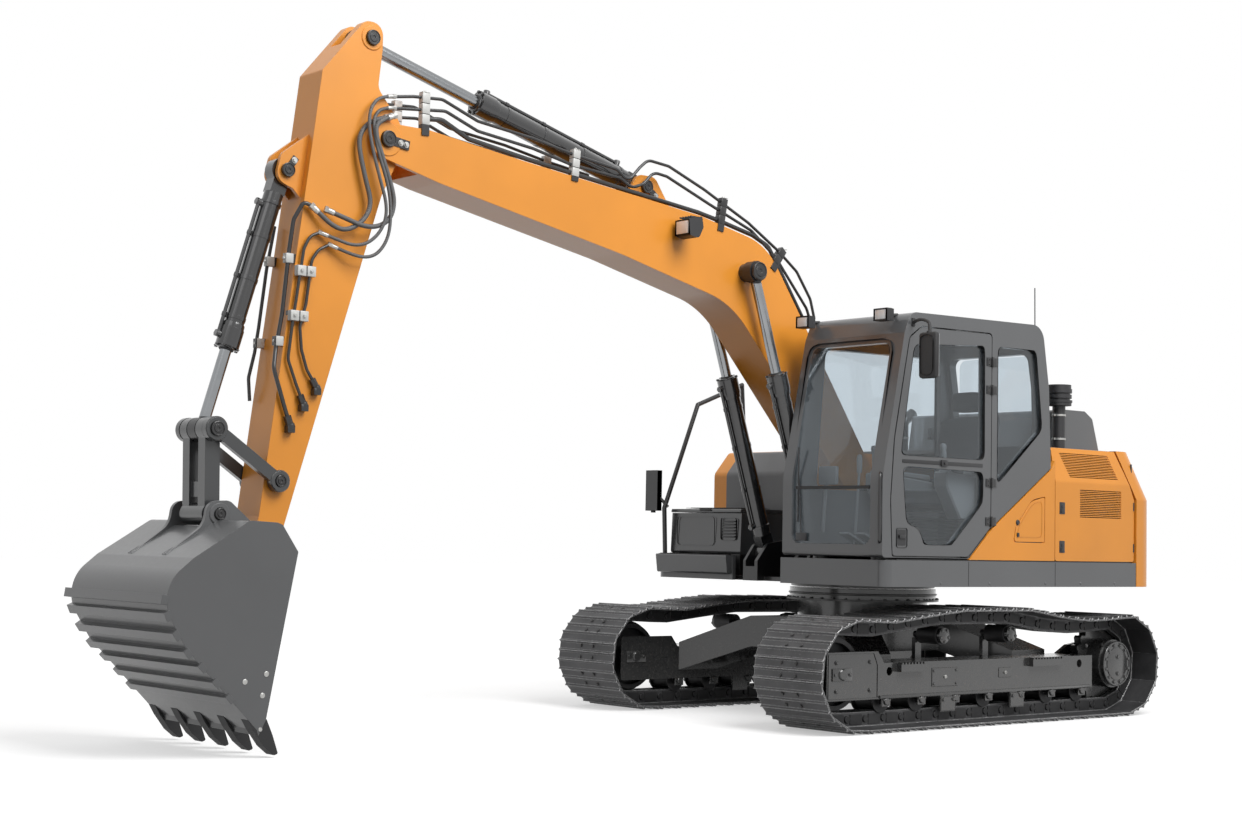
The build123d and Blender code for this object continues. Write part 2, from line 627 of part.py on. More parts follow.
# Orange fairing under the cab's rear corner, with the storage door's opening
fairing_rows = [
    (300, SEAT_Z, 0),
    (60, CAB_BOTTOM_Z + 205, 0),
    (-570, CAB_BOTTOM_Z + 622, 0),
    (HOUSE_FRONT_X, CAB_BOTTOM_Z + 690, 0),
    (HOUSE_FRONT_X, SEAT_Z, 0),
]
STORAGE_ROWS = [
    (-500, 1228, 12),
    (-168, 1228, 20),
    (-190, 1330, 60),
    (-360, 1510, 120),
    (-500, 1540, 12),
]


def grown(rows, centre, gap):
    """Rows moved away from a centre by about a gap."""
    result = []
    for x, z, radius in rows:
        length = math.hypot(x - centre[0], z - centre[1])
        result.append((x + (x - centre[0]) / length * gap, z + (z - centre[1]) / length * gap, radius))
    return result


STORAGE_CENTRE = (-360, 1350)
FAIRING_Y = (CAB_LEFT_Y - PANEL, CAB_LEFT_Y + 3)
fairing = side_prism(fairing_rows, *FAIRING_Y)
fairing -= side_prism(grown(STORAGE_ROWS, STORAGE_CENTRE, DOOR_GAP), FAIRING_Y[0] - 5, FAIRING_Y[1] + 5)
nodes["cab_fairing"] = fairing
nodes["storage_door"] = side_prism(STORAGE_ROWS, *FAIRING_Y)

# Engine side doors: upright below, leaning in above, with louvre slots
ENGINE_DOOR_ROWS = [
    (HOUSE_FRONT_X - DOOR_GAP, SKIRT_TOP_Z + DOOR_GAP, 20),
    (TAIL_SEAM_X + DOOR_GAP, SKIRT_TOP_Z + DOOR_GAP, 20),
    (TAIL_SEAM_X + DOOR_GAP, TAIL_SHOULDER_Z, 0),
    (TAIL_FRONT_X + TAIL_LEAN + 2 * DOOR_GAP, DOOR_TOP_Z, 0),
    (HOUSE_FRONT_X - DOOR_GAP, DOOR_TOP_Z, 20),
]
door_section = [
    (DOOR_OUTER_Y, SKIRT_TOP_Z, 0),
    (DOOR_OUTER_Y, DOOR_LEAN_Z, 90),
    (TOP_HALF_WIDTH - 4, DOOR_TOP_Z + 5, 0),
    (TOP_HALF_WIDTH - 4 - PANEL, DOOR_TOP_Z + 5, 0),
    (DOOR_OUTER_Y - PANEL, DOOR_LEAN_Z - 5, 90),
    (DOOR_OUTER_Y - PANEL, SKIRT_TOP_Z, 0),
]
# Louvre fields: rear x and front x at the bottom, shift forward to the top, z low, z high, slats
LOUVRES = [
    (-1360, -795, 90, 1690, 1866, 15),
    (-1392, -905, 0, 1410, 1612, 16),
]
SLOT_SHARE = 0.45


def engine_door():
    """Left engine door."""
    door = front_prism(door_section, TAIL_FRONT_X, HOUSE_FRONT_X)
    door &= side_prism(ENGINE_DOOR_ROWS, DOOR_OUTER_Y - 200, DOOR_OUTER_Y + 5)
    slots = []
    for x_rear, x_front, shift, z_low, z_high, slats in LOUVRES:
        pitch = (z_high - z_low) / slats
        for slat in range(slats):
            low = z_low + slat * pitch
            move = shift * slat / slats
            slots.append(block(x_rear + move, x_front + move, DOOR_OUTER_Y - 150, DOOR_OUTER_Y + 5, low, low + pitch * SLOT_SHARE))
    return door - slots


nodes["engine_door_left"] = engine_door()
nodes["engine_door_right"] = mirrored(nodes["engine_door_left"])

# Engine hood, air cleaner cap and exhaust
HOOD_BOTTOM_Z = HOUSE_TOP_Z + HOOD_SEAT
hood_rows = [
    (HOOD_X[0], HOOD_BOTTOM_Z, 0),
    (HOOD_X[0] + 78, HOOD_TOP_Z - 52, 30),
    (HOOD_X[0] + 168, HOOD_TOP_Z, 30),
    (HOOD_X[1] - 45, HOOD_TOP_Z, 25),
    (HOOD_X[1], HOOD_BOTTOM_Z, 0),
]
hood_inner = [
    (HOOD_X[0] + 25, HOOD_BOTTOM_Z - 10, 0),
    (HOOD_X[0] + 100, HOOD_TOP_Z - 70, 0),
    (HOOD_X[0] + 176, HOOD_TOP_Z - 25, 0),
    (HOOD_X[1] - 66, HOOD_TOP_Z - 25, 0),
    (HOOD_X[1] - 25, HOOD_BOTTOM_Z - 10, 0),
]
hood = side_prism(hood_rows, *HOOD_Y) - side_prism(hood_inner, HOOD_Y[0] + 25, HOOD_Y[1] - 25)
HOOD_SLOTS = 6
HOOD_SLOT_PITCH = 42
for index in range(HOOD_SLOTS):
    x = HOOD_X[1] - 75 - index * HOOD_SLOT_PITCH
    hood -= block(x - 24, x, HOOD_Y[1] - 200, HOOD_Y[1] - 45, HOOD_TOP_Z - 40, HOOD_TOP_Z + 10)
    hood -= block(x - 24, x, HOOD_Y[0] + 45, HOOD_Y[0] + 200, HOOD_TOP_Z - 40, HOOD_TOP_Z + 10)
nodes["engine_hood"] = hood
# Air cleaner cap: x, y, bottom of the cap; then rings of radius, height
STACK_AT = (-878, 1065, 2206)
STACK_TUBE_R = 46
CAP_RINGS = [(88, 22), (94, 16), (78, 14), (90, 26), (80, 12), (92, 28), (86, 30)]
stack_z = STACK_AT[2]
stack = Pos(STACK_AT[0], STACK_AT[1], (HOUSE_TOP_Z + stack_z) / 2) * Cylinder(STACK_TUBE_R, stack_z - HOUSE_TOP_Z)
for radius, height in CAP_RINGS:
    stack += Pos(STACK_AT[0], STACK_AT[1], stack_z + height / 2) * Cylinder(radius, height)
    stack_z += height
nodes["air_cleaner_stack"] = stack
EXHAUST_AT = (-1120, -620)
exhaust = pipe([
    (EXHAUST_AT[0], EXHAUST_AT[1], HOUSE_TOP_Z),
    (EXHAUST_AT[0], EXHAUST_AT[1], HOUSE_TOP_Z + 260),
    (EXHAUST_AT[0] - 110, EXHAUST_AT[1], HOUSE_TOP_Z + 330),
], 42, 60)
exhaust += Pos(EXHAUST_AT[0], EXHAUST_AT[1], HOUSE_TOP_Z + 12) * Cylinder(70, 24)
nodes["exhaust_pipe"] = exhaust
ANTENNA_AT = (-822, 900)
antenna = Pos(ANTENNA_AT[0], ANTENNA_AT[1], HOUSE_TOP_Z + 20) * Cylinder(16, 40)
antenna += tube_between((ANTENNA_AT[0], ANTENNA_AT[1], HOUSE_TOP_Z + 30), (ANTENNA_AT[0] + 15, ANTENNA_AT[1], 3060), 4)
nodes["antenna"] = antenna

# Right side: tank, toolbox with lid, front step
TANK_X = (-600, 330)
TANK_Y = (-HOUSE_HALF_WIDTH + 12, -330)
tank_rows = [
    (TANK_X[0], SEAT_Z, 20),
    (TANK_X[1], SEAT_Z, 20),
    (TANK_X[1], 1700, 60),
    (TANK_X[1] - 150, 1870, 60),
    (TANK_X[0], 1870, 20),
]
nodes["fuel_tank"] = side_prism(tank_rows, *TANK_Y)
BOX_X = (TANK_X[1] + 10, 790)
BOX_Y = (-1205, -460)
BOX_TOP_Z = 1425
box_rows = [
    (BOX_X[0], SEAT_Z, 0),
    (BOX_X[1], SEAT_Z, 20),
    (BOX_X[1] - 12, BOX_TOP_Z - 30, 0),
    (BOX_X[0], BOX_TOP_Z - 30, 0),
]
toolbox = side_prism(box_rows, *BOX_Y)
toolbox -= block(BOX_X[0] + 15, BOX_X[1] - 35, BOX_Y[0] + 15, BOX_Y[1] - 15, SKIRT_TOP_Z + 25, BOX_TOP_Z)
nodes["toolbox"] = toolbox
lid_rows = [
    (BOX_X[0], BOX_TOP_Z - 26, 0),
    (BOX_X[1] + 3, BOX_TOP_Z - 26, 8),
    (BOX_X[1] - 6, BOX_TOP_Z, 8),
    (BOX_X[0], BOX_TOP_Z, 0),
]
nodes["toolbox_lid"] = side_prism(lid_rows, *BOX_Y)

# Cab shell
CAB_ROWS = [
    (CAB_REAR_X, CAB_BOTTOM_Z, 0),
    (CAB_FRONT_X - 5, CAB_BOTTOM_Z, 30),
    (CAB_FRONT_X - 2, 1620, 400),
    (965, 2570, 0),
    (905, 2710, 90),
    (-470, 2735, 120),
    (-545, 2300, 0),
]


def cab_shell():
    """Hollow cab with window openings and the doorway."""
    shell = side_prism(CAB_ROWS, CAB_RIGHT_Y, CAB_LEFT_Y)
    inside = [
        (CAB_REAR_X + 70, CAB_BOTTOM_Z + 60, 30),
        (CAB_FRONT_X - 60, CAB_BOTTOM_Z + 60, 40),
        (CAB_FRONT_X - 58, 1620, 300),
        (910, 2530, 0),
        (860, 2640, 60),
        (-410, 2660, 80),
        (-480, 2300, 0),
    ]
    shell -= side_prism(inside, CAB_RIGHT_Y + CAB_WALL, CAB_LEFT_Y - CAB_WALL)
    shell -= side_prism(grown(DOOR_ROWS, DOOR_CENTRE, DOOR_GAP), CAB_LEFT_Y - CAB_WALL - 5, CAB_LEFT_Y + 5)
    shell -= side_prism(REAR_WINDOW_ROWS, CAB_LEFT_Y - CAB_WALL - 5, CAB_LEFT_Y + 5)
    shell -= side_prism(RIGHT_WINDOW_ROWS, CAB_RIGHT_Y - 5, CAB_RIGHT_Y + CAB_WALL + 5)
    shell -= front_prism(WINDSCREEN_OPENING, 700, 1300)
    shell -= front_prism(REAR_OPENING, -700, -400)
    shell -= side_prism([(HOUSE_FRONT_X, CAB_BOTTOM_Z - 60, 0)] + [
        (x + 8, z + 8, r) for x, z, r in fairing_rows[:3]] + [(HOUSE_FRONT_X, CAB_BOTTOM_Z + 660, 0)],
        FAIRING_Y[0] - 2, CAB_LEFT_Y + 5)
    return shell


DOOR_ROWS = [
    (1062, CAB_BOTTOM_Z + 12, 20),
    (310, CAB_BOTTOM_Z + 12, 0),
    (80, CAB_BOTTOM_Z + 212, 0),
    (80, 2630, 30),
    (800, 2618, 60),
    (915, 2540, 60),
    (1050, 1880, 300),
    (1082, 1480, 300),
]
DOOR_CENTRE = (560, 1900)
REAR_WINDOW_ROWS = [
    (15, 1610, 20),
    (15, 2550, 40),
    (-400, 2555, 40),
    (-470, 2005, 60),
]
RIGHT_WINDOW_ROWS = [
    (-380, 1560, 60),
    (900, 1560, 60),
    (820, 2520, 60),
    (-380, 2540, 60),
]
WIND_Y = (CAB_RIGHT_Y + 85, CAB_LEFT_Y - 105)
CAB_MIDDLE_Y = (CAB_LEFT_Y + CAB_RIGHT_Y) / 2
WINDSCREEN_OPENING = [(WIND_Y[0], 1190, 60), (WIND_Y[1], 1190, 60), (WIND_Y[1], 2510, 60), (WIND_Y[0], 2510, 60)]
REAR_OPENING = [(WIND_Y[0], 1900, 60), (WIND_Y[1], 1900, 60), (WIND_Y[1], 2540, 60), (WIND_Y[0], 2540, 60)]
nodes["cab_frame"] = cab_shell()

# Cab door with two window openings
UPPER_LIGHT = [
    (990, 1772, 30),
    (150, 1772, 30),
    (155, 2545, 30),
    (870, 2500, 60),
]
LOWER_LIGHT = [
    (970, 1700, 60),
    (930, 1330, 60),
    (800, 1300, 30),
    (760, 1195, 30),
    (480, 1195, 30),
    (165, 1480, 40),
    (160, 1690, 40),
]
cab_door = side_prism(DOOR_ROWS, CAB_LEFT_Y - CAB_WALL, CAB_LEFT_Y)
for light in (UPPER_LIGHT, LOWER_LIGHT):
    cab_door -= side_prism(light, CAB_LEFT_Y - CAB_WALL - 5, CAB_LEFT_Y + 5)
nodes["cab_door"] = cab_door


def pane(rows, centre, y_middle):
    """Glass that stands 1 mm clear inside its opening."""
    return side_prism(grown(rows, centre, -1), y_middle - GLASS / 2, y_middle + GLASS / 2)


LEFT_PANE_Y = CAB_LEFT_Y - 20
nodes["cab_door_glass"] = Compound([
    pane(UPPER_LIGHT, (560, 2150), LEFT_PANE_Y),
    pane(LOWER_LIGHT, (560, 1480), LEFT_PANE_Y),
])
windscreen_rows = [
    (CAB_FRONT_X - 30, 1191, 0),
    (CAB_FRONT_X - 24, 1191, 0),
    (CAB_FRONT_X - 22, 1625, 400),
    (985, 2509, 0),
    (979, 2509, 0),
    (CAB_FRONT_X - 28, 1625, 394),
]
windscreen_glass = side_prism(windscreen_rows, WIND_Y[0], WIND_Y[1])
windscreen_glass &= front_prism(grown(WINDSCREEN_OPENING, (CAB_MIDDLE_Y, 1850), -1), 700, 1300)
rear_glass = front_prism(grown(REAR_OPENING, (CAB_MIDDLE_Y, 2220), -1), -560, -560 + GLASS)
nodes["cab_glass"] = Compound([
    windscreen_glass.solid(),
    pane(REAR_WINDOW_ROWS, (-200, 2180), LEFT_PANE_Y),
    pane(RIGHT_WINDOW_ROWS, (250, 2050), CAB_RIGHT_Y + 20),
    rear_glass,
])

# Seat, side consoles and levers on the cab floor
FLOOR_Z = CAB_BOTTOM_Z + 60
SEAT_Y = (CAB_LEFT_Y + CAB_RIGHT_Y) / 2
seat = block(-150, 330, SEAT_Y - 130, SEAT_Y + 130, FLOOR_Z, FLOOR_Z + 250)
seat += side_prism([(-180, FLOOR_Z + 250, 20), (380, FLOOR_Z + 250, 50), (380, FLOOR_Z + 380, 50), (-180, FLOOR_Z + 350, 20)],
                   SEAT_Y - 240, SEAT_Y + 240)
seat += side_prism([(-180, FLOOR_Z + 340, 20), (-60, FLOOR_Z + 340, 20), (-180, FLOOR_Z + 1050, 50), (-300, FLOOR_Z + 1050, 50)],
                   SEAT_Y - 230, SEAT_Y + 230)
for side in (1, -1):
    y = SEAT_Y + side * 310
    seat += block(-150, 450, y - 65, y + 65, FLOOR_Z, FLOOR_Z + 520)
    seat += tube_between((400, y, FLOOR_Z + 500), (430, y, FLOOR_Z + 680), 16)
nodes["cab_interior"] = seat

# Mirrors, lamps, handrails, front step
MIRROR_AT = (1035, 1500, 2400)
mirror_form = Pos(*MIRROR_AT) * Box(50, 150, 300)
mirror_form += tube_between((MIRROR_AT[0], MIRROR_AT[1], MIRROR_AT[2] + 140), (880, CAB_LEFT_Y - 10, 2662), 12)
mirror_form = (mirror_form - nodes["cab_frame"]).solid()
right_mirror = Pos(860, -1330, 1560) * Box(40, 130, 300)
right_mirror += tube_between((860, -1330, 1560), (820, -1212, 1440), 12)
nodes["mirrors"] = Compound([mirror_form])
HANDRAIL_Y = -HOUSE_HALF_WIDTH + 17
rail_points = [
    (RIGHT_FRONT_X - 75, SKIRT_TOP_Z),
    (RIGHT_FRONT_X - 60, 1430),
    (520, 2220),
    (60, 2400),
]
handrail = None
for index in range(len(rail_points) - 1):
    x1, z1 = rail_points[index]
    x2, z2 = rail_points[index + 1]
    piece = tube_between((x1, HANDRAIL_Y, z1), (x2, HANDRAIL_Y, z2), 17)
    piece += Pos(x2, HANDRAIL_Y, z2) * Sphere(17)
    handrail = piece if handrail is None else handrail + piece
handrail += tube_between((60, HANDRAIL_Y, 2400), (20, HANDRAIL_Y, 1868), 17)
handrail += right_mirror
nodes["handrails"] = (handrail - nodes["fuel_tank"] - nodes["side_skirts"]).solid()
lamp = Pos(1010, 1090, 2690) * Box(70, 110, 80)
lamp += tube_between((985, 1090, 2690), (880, 1090, 2700), 12)
lamp_right = Pos(1010, 380, 2690) * Box(70, 110, 80)
lamp_right += tube_between((985, 380, 2690), (880, 380, 2700), 12)
nodes["work_lamps"] = Compound([
    (lamp - nodes["cab_frame"]).solid(),
    (lamp_right - nodes["cab_frame"]).solid(),
])
step_rows = [
    (RIGHT_FRONT_X, DECK_BOTTOM_Z + 60, 0),
    (RIGHT_FRONT_X, SKIRT_TOP_Z, 0),
    (RIGHT_FRONT_X + 60, SKIRT_TOP_Z, 10),
    (RIGHT_FRONT_X + 40, DECK_BOTTOM_Z + 20, 16),
]
nodes["front_step"] = side_prism(step_rows, -1180, -430)

# Boom: welded box with a bend, forked tip, cylinder ears on top
BOOM_ROWS = [
    (BOOM_FOOT[0] - 115, BOOM_FOOT[1] - 65, 80),
    (BOOM_FOOT[0] - 90, BOOM_FOOT[1] + 145, 90),
    (820, 2735, 500),
    (1180, 3225, 480),
    (1800, 3352, 500),
    (3297, 3513, 0),
    (4000, 3598, 200),
    (BOOM_TIP[0] + 7, BOOM_TIP[1] + 98, 90),
    (BOOM_TIP[0] + 105, BOOM_TIP[1], 70),
    (BOOM_TIP[0] + 77, BOOM_TIP[1] - 100, 60),
    (3913, 3290, 300),
    (2480, 3020, 900),
    (1500, 2790, 700),
    (800, 2045, 900),
    (BOOM_FOOT[0] + 135, BOOM_FOOT[1] - 25, 100),
    (BOOM_FOOT[0] + 30, BOOM_FOOT[1] - 120, 70),
    (BOOM_FOOT[0] - 80, BOOM_FOOT[1] - 115, 60),
]
BOOM_INNER_ROWS = [
    (BOOM_FOOT[0] + 90, BOOM_FOOT[1] + 200, 30),
    (835, 2722, 480),
    (1192, 3209, 460),
    (1806, 3334, 480),
    (3297, 3496, 0),
    (3900, 3566, 60),
    (3920, 3315, 60),
    (2478, 3040, 880),
    (1492, 2810, 680),
    (785, 2060, 880),
    (BOOM_FOOT[0] + 195, BOOM_FOOT[1] + 100, 30),
]
FORK_INNER_Y = ARM_HALF_WIDTH + SIDE_CLEARANCE
boom = side_prism(BOOM_ROWS, -BOOM_HALF_WIDTH, BOOM_HALF_WIDTH)
boom_inner_y = BOOM_HALF_WIDTH - BOOM_PLATE
boom -= side_prism(BOOM_INNER_ROWS, -boom_inner_y, boom_inner_y)
boom -= cross_pin(BOOM_TIP, 290, -FORK_INNER_Y, FORK_INNER_Y)
boom -= cross_pin(BOOM_FOOT, 41, -BOOM_HALF_WIDTH - 20, BOOM_HALF_WIDTH + 20)
ear_rows = [
    (ARM_CYL_FOOT[0] + 190, 3390, 0),
    (ARM_CYL_FOOT[0] + 75, ARM_CYL_FOOT[1] + 75, 74),
    (ARM_CYL_FOOT[0] - 75, ARM_CYL_FOOT[1] + 75, 74),
    (ARM_CYL_FOOT[0] - 230, 3360, 0),
]
CYL_EYE_HALF = 48
EAR_INNER_Y = CYL_EYE_HALF + 6
boom += both_sides(side_prism(ear_rows, EAR_INNER_Y, EAR_INNER_Y + 26))
nodes["boom"] = boom

ROD_EYE_HALF = 38
PIN_END = 4
boss_end = BOOM_CYL_Y - ROD_EYE_HALF - PIN_END - OPEN_PIVOT_GAP
pins = both_sides(cross_pin(BOOM_CYL_ROD, 62, BOOM_HALF_WIDTH, boss_end))
tip_pin = cross_pin(BOOM_TIP, 40, -FORK_INNER_Y, FORK_INNER_Y)
foot_pin = cross_pin(ARM_CYL_FOOT, 35, -EAR_INNER_Y, EAR_INNER_Y)

# Boom lamp, pipes and hoses come after the links; a keeper is a flag plate that holds a pin
KEEPER_PLATE = 10
tip_keeper_end = (BOOM_TIP[0] - 150, BOOM_TIP[1] - 20)
foot_keeper_end = (ARM_CYL_FOOT[0] - 90, ARM_CYL_FOOT[1] - 62)
caps = cross_pin(BOOM_TIP, 48, BOOM_HALF_WIDTH, BOOM_HALF_WIDTH + 22)
caps += side_bar(BOOM_TIP, tip_keeper_end, BOOM_HALF_WIDTH, BOOM_HALF_WIDTH + KEEPER_PLATE, 56)
caps = both_sides(caps)
ear_face_y = EAR_INNER_Y + 26
ear_caps = cross_pin(ARM_CYL_FOOT, 44, ear_face_y, ear_face_y + 18)
ear_caps += side_bar(ARM_CYL_FOOT, foot_keeper_end, ear_face_y, ear_face_y + KEEPER_PLATE, 44)
ear_caps = both_sides(ear_caps)
nodes["boom_pins"] = Compound([solid for part in (pins, tip_pin, foot_pin, caps, ear_caps) for solid in part.solids()])


# Distance from a cylinder's foot pin to its round barrel, past the ears
NECK = 140


FEED_PIPE_R = 11


def cylinder_barrel(foot, eye, y, sizes, eye_half, pin_r, feed_side):
    """Barrel with its foot eye and head, bored for the rod; a feed pipe runs along its feed side."""
    barrel_r, head_r, rod_r, end, _ = sizes
    length = distance(foot, eye)
    along = ((eye[0] - foot[0]) / length, (eye[1] - foot[1]) / length)

    def at(s, off=0):
        return (foot[0] + along[0] * s - along[1] * off, y, foot[1] + along[1] * s + along[0] * off)

    feed = feed_side * (barrel_r + FEED_PIPE_R + 8)
    neck_end = (foot[0] + along[0] * NECK, foot[1] + along[1] * NECK)
    body = tube_between(at(NECK), at(end), barrel_r)
    body += side_bar(foot, neck_end, y - eye_half, y + eye_half, barrel_r * 1.7)
    body += tube_between(at(end - 110), at(end), head_r)
    body += cross_pin(foot, 78, y - eye_half, y + eye_half)
    body += tube_between(at(NECK + 70, feed), at(end - 40, feed), FEED_PIPE_R)
    for s in (NECK + 80, end - 55):
        body += tube_between(at(s), at(s, feed * 1.15), FEED_PIPE_R * 1.8)
    body -= cross_pin(foot, pin_r + 1, y - eye_half - 5, y + eye_half + 5)
    body -= tube_between(at(NECK + 30), at(end + 5), rod_r + 8)
    return body


def cylinder_rod(foot, eye, y, sizes, eye_half, pin_r, eye_r):
    """Rod with its eye and the pin that stays in it, from inside the barrel."""
    _, _, rod_r, _, start = sizes
    length = distance(foot, eye)
    along = ((eye[0] - foot[0]) / length, (eye[1] - foot[1]) / length)
    begin = (foot[0] + along[0] * start, y, foot[1] + along[1] * start)
    finish = (foot[0] + along[0] * (length - eye_r * 0.7), y, foot[1] + along[1] * (length - eye_r * 0.7))
    rod = tube_between(begin, finish, rod_r)
    rod += cross_pin(eye, eye_r, y - eye_half, y + eye_half)
    rod += cross_pin(eye, pin_r, y - eye_half - PIN_END, y + eye_half + PIN_END)
    return rod


boom_barrel = cylinder_barrel(BOOM_CYL_FOOT, BOOM_CYL_ROD, BOOM_CYL_Y, BOOM_CYL, ROD_EYE_HALF, 35, -1)
nodes["boom_cylinder_barrels"] = both_sides(boom_barrel)
boom_rod = cylinder_rod(BOOM_CYL_FOOT, BOOM_CYL_ROD, BOOM_CYL_Y, BOOM_CYL, ROD_EYE_HALF, 38, 72)
rod_cap_y = BOOM_CYL_Y + ROD_EYE_HALF
boom_rod += cross_pin(BOOM_CYL_ROD, 62, rod_cap_y + PIN_END - 2, rod_cap_y + 24)
nodes["boom_cylinder_rods"] = both_sides(boom_rod)
nodes["arm_cylinder_barrel"] = cylinder_barrel(ARM_CYL_FOOT, ARM_CYL_ROD, 0, ARM_CYL, CYL_EYE_HALF, 35, 1)
nodes["arm_cylinder_rod"] = cylinder_rod(ARM_CYL_FOOT, ARM_CYL_ROD, 0, ARM_CYL, CYL_EYE_HALF, 37, 78)
BUCKET_EYE_HALF = 42
bucket_barrel = cylinder_barrel(BUCKET_CYL_FOOT, LINK_TOP_PIN, 0, BUCKET_CYL, BUCKET_EYE_HALF, 33, 1)
nodes["bucket_cylinder_barrel"] = bucket_barrel
nodes["bucket_cylinder_rod"] = cylinder_rod(BUCKET_CYL_FOOT, LINK_TOP_PIN, 0, BUCKET_CYL, BUCKET_EYE_HALF, 32, 66)

# Arm: tapered box with the cylinder ears
ARM_ROWS = [
    (ARM_CYL_ROD[0] - 75, ARM_CYL_ROD[1] - 60, 40),
    (ARM_CYL_ROD[0] - 75, ARM_CYL_ROD[1] + 95, 74),
    (ARM_CYL_ROD[0] + 50, ARM_CYL_ROD[1] + 95, 60),
    (4724, 3845, 25),
    (4775, 3430, 60),
    (5048, 1280, 0),
    (BUCKET_PIN[0] + 88, BUCKET_PIN[1] - 10, 60),
    (BUCKET_PIN[0] + 30, BUCKET_PIN[1] - 90, 60),
    (BUCKET_PIN[0] - 75, BUCKET_PIN[1] - 70, 60),
    (4888, 1228, 60),
    (4300, 3170, 200),
    (BOOM_TIP[0] - 125, BOOM_TIP[1] - 60, 110),
    (BOOM_TIP[0] - 115, BOOM_TIP[1] + 110, 100),
    (4345, 3800, 80),
]
arm = side_prism(ARM_ROWS, -ARM_HALF_WIDTH, ARM_HALF_WIDTH)
arm_inner_rows = [
    (4420, 3300, 60),
    (4420, 3850, 40),
    (4650, 3850, 40),
    (4745, 3430, 60),
    (5010, 1300, 20),
    (4920, 1260, 20),
]
arm_inner_y = ARM_HALF_WIDTH - ARM_PLATE
arm -= side_prism(arm_inner_rows, -arm_inner_y, arm_inner_y)
arm -= cross_pin(BOOM_TIP, 41, -ARM_HALF_WIDTH - 5, ARM_HALF_WIDTH + 5)
slot_rows = [
    (ARM_CYL_ROD[0] - 150, ARM_CYL_ROD[1] - 95, 0),
    (ARM_CYL_ROD[0] - 60, ARM_CYL_ROD[1] - 135, 60),
    (ARM_CYL_ROD[0] + 60, ARM_CYL_ROD[1] - 135, 60),
    (ARM_CYL_ROD[0] + 330, ARM_CYL_ROD[1] + 60, 0),
    (ARM_CYL_ROD[0] + 330, ARM_CYL_ROD[1] + 250, 0),
    (ARM_CYL_ROD[0] - 150, ARM_CYL_ROD[1] + 250, 0),
]
arm -= side_prism(slot_rows, -EAR_INNER_Y, EAR_INNER_Y)
foot_ear_rows = [
    (4770, 3470, 0),
    (BUCKET_CYL_FOOT[0] + 40, BUCKET_CYL_FOOT[1] + 90, 60),
    (BUCKET_CYL_FOOT[0] + 75, BUCKET_CYL_FOOT[1] - 60, 70),
    (BUCKET_CYL_FOOT[0] - 40, BUCKET_CYL_FOOT[1] - 100, 30),
    (4800, 3080, 0),
    (4740, 3080, 0),
    (4740, 3470, 0),
]
BUCKET_EAR_INNER_Y = BUCKET_EYE_HALF + 6
arm += both_sides(side_prism(foot_ear_rows, BUCKET_EAR_INNER_Y, BUCKET_EAR_INNER_Y + 26))
arm -= cross_pin(BUCKET_CYL_FOOT, 92, -BUCKET_EAR_INNER_Y, BUCKET_EAR_INNER_Y)
nodes["arm"] = arm

top_caps = both_sides(cross_pin(ARM_CYL_ROD, 44, ARM_HALF_WIDTH, ARM_HALF_WIDTH + 18))
cyl_pin = cross_pin(BUCKET_CYL_FOOT, 32, -BUCKET_EAR_INNER_Y, BUCKET_EAR_INNER_Y)
cyl_face_y = BUCKET_EAR_INNER_Y + 26
cyl_keeper_end = (BUCKET_CYL_FOOT[0] - 52, BUCKET_CYL_FOOT[1] + 78)
cyl_caps = cross_pin(BUCKET_CYL_FOOT, 40, cyl_face_y, cyl_face_y + 18)
cyl_caps += side_bar(BUCKET_CYL_FOOT, cyl_keeper_end, cyl_face_y, cyl_face_y + KEEPER_PLATE, 40)
cyl_caps = both_sides(cyl_caps)
LINK_INNER_Y = ARM_HALF_WIDTH + SIDE_CLEARANCE
LINK_OUTER_Y = LINK_INNER_Y + 40
link_pin = both_sides(cross_pin(ARM_LINK_PIN, 32, ARM_HALF_WIDTH, LINK_OUTER_Y + 8))
nodes["arm_pins"] = Compound([solid for part in (top_caps, cyl_pin, cyl_caps, link_pin) for solid in part.solids()])

# Side links and H-link
link = side_bar(ARM_LINK_PIN, LINK_TOP_PIN, LINK_INNER_Y, LINK_OUTER_Y, 70)
link += cross_pin(ARM_LINK_PIN, 62, LINK_INNER_Y, LINK_OUTER_Y)
link += cross_pin(LINK_TOP_PIN, 68, LINK_INNER_Y, LINK_OUTER_Y)
link -= cross_pin(ARM_LINK_PIN, 33, LINK_INNER_Y - 5, LINK_OUTER_Y + 5)
link += cross_pin(LINK_TOP_PIN, 40, LINK_OUTER_Y, LINK_OUTER_Y + 14)
nodes["side_links"] = both_sides(link)
H_INNER_Y = 50
H_OUTER_Y = LINK_INNER_Y - 6
h_arm = side_bar(LINK_TOP_PIN, BUCKET_LINK_PIN, H_INNER_Y, H_OUTER_Y, 90)
h_arm += cross_pin(LINK_TOP_PIN, 66, H_INNER_Y, H_OUTER_Y)
h_link = both_sides(h_arm)
middle = between(LINK_TOP_PIN, BUCKET_LINK_PIN, 0.62)
h_link += side_bar(middle, between(LINK_TOP_PIN, BUCKET_LINK_PIN, 0.8), -H_INNER_Y, H_INNER_Y, 60)
h_link += cross_pin(BUCKET_LINK_PIN, 62, -H_OUTER_Y, H_OUTER_Y)
h_link -= cross_pin(BUCKET_LINK_PIN, 34, -LINK_OUTER_Y - 20, LINK_OUTER_Y + 20)
nodes["h_link"] = h_link

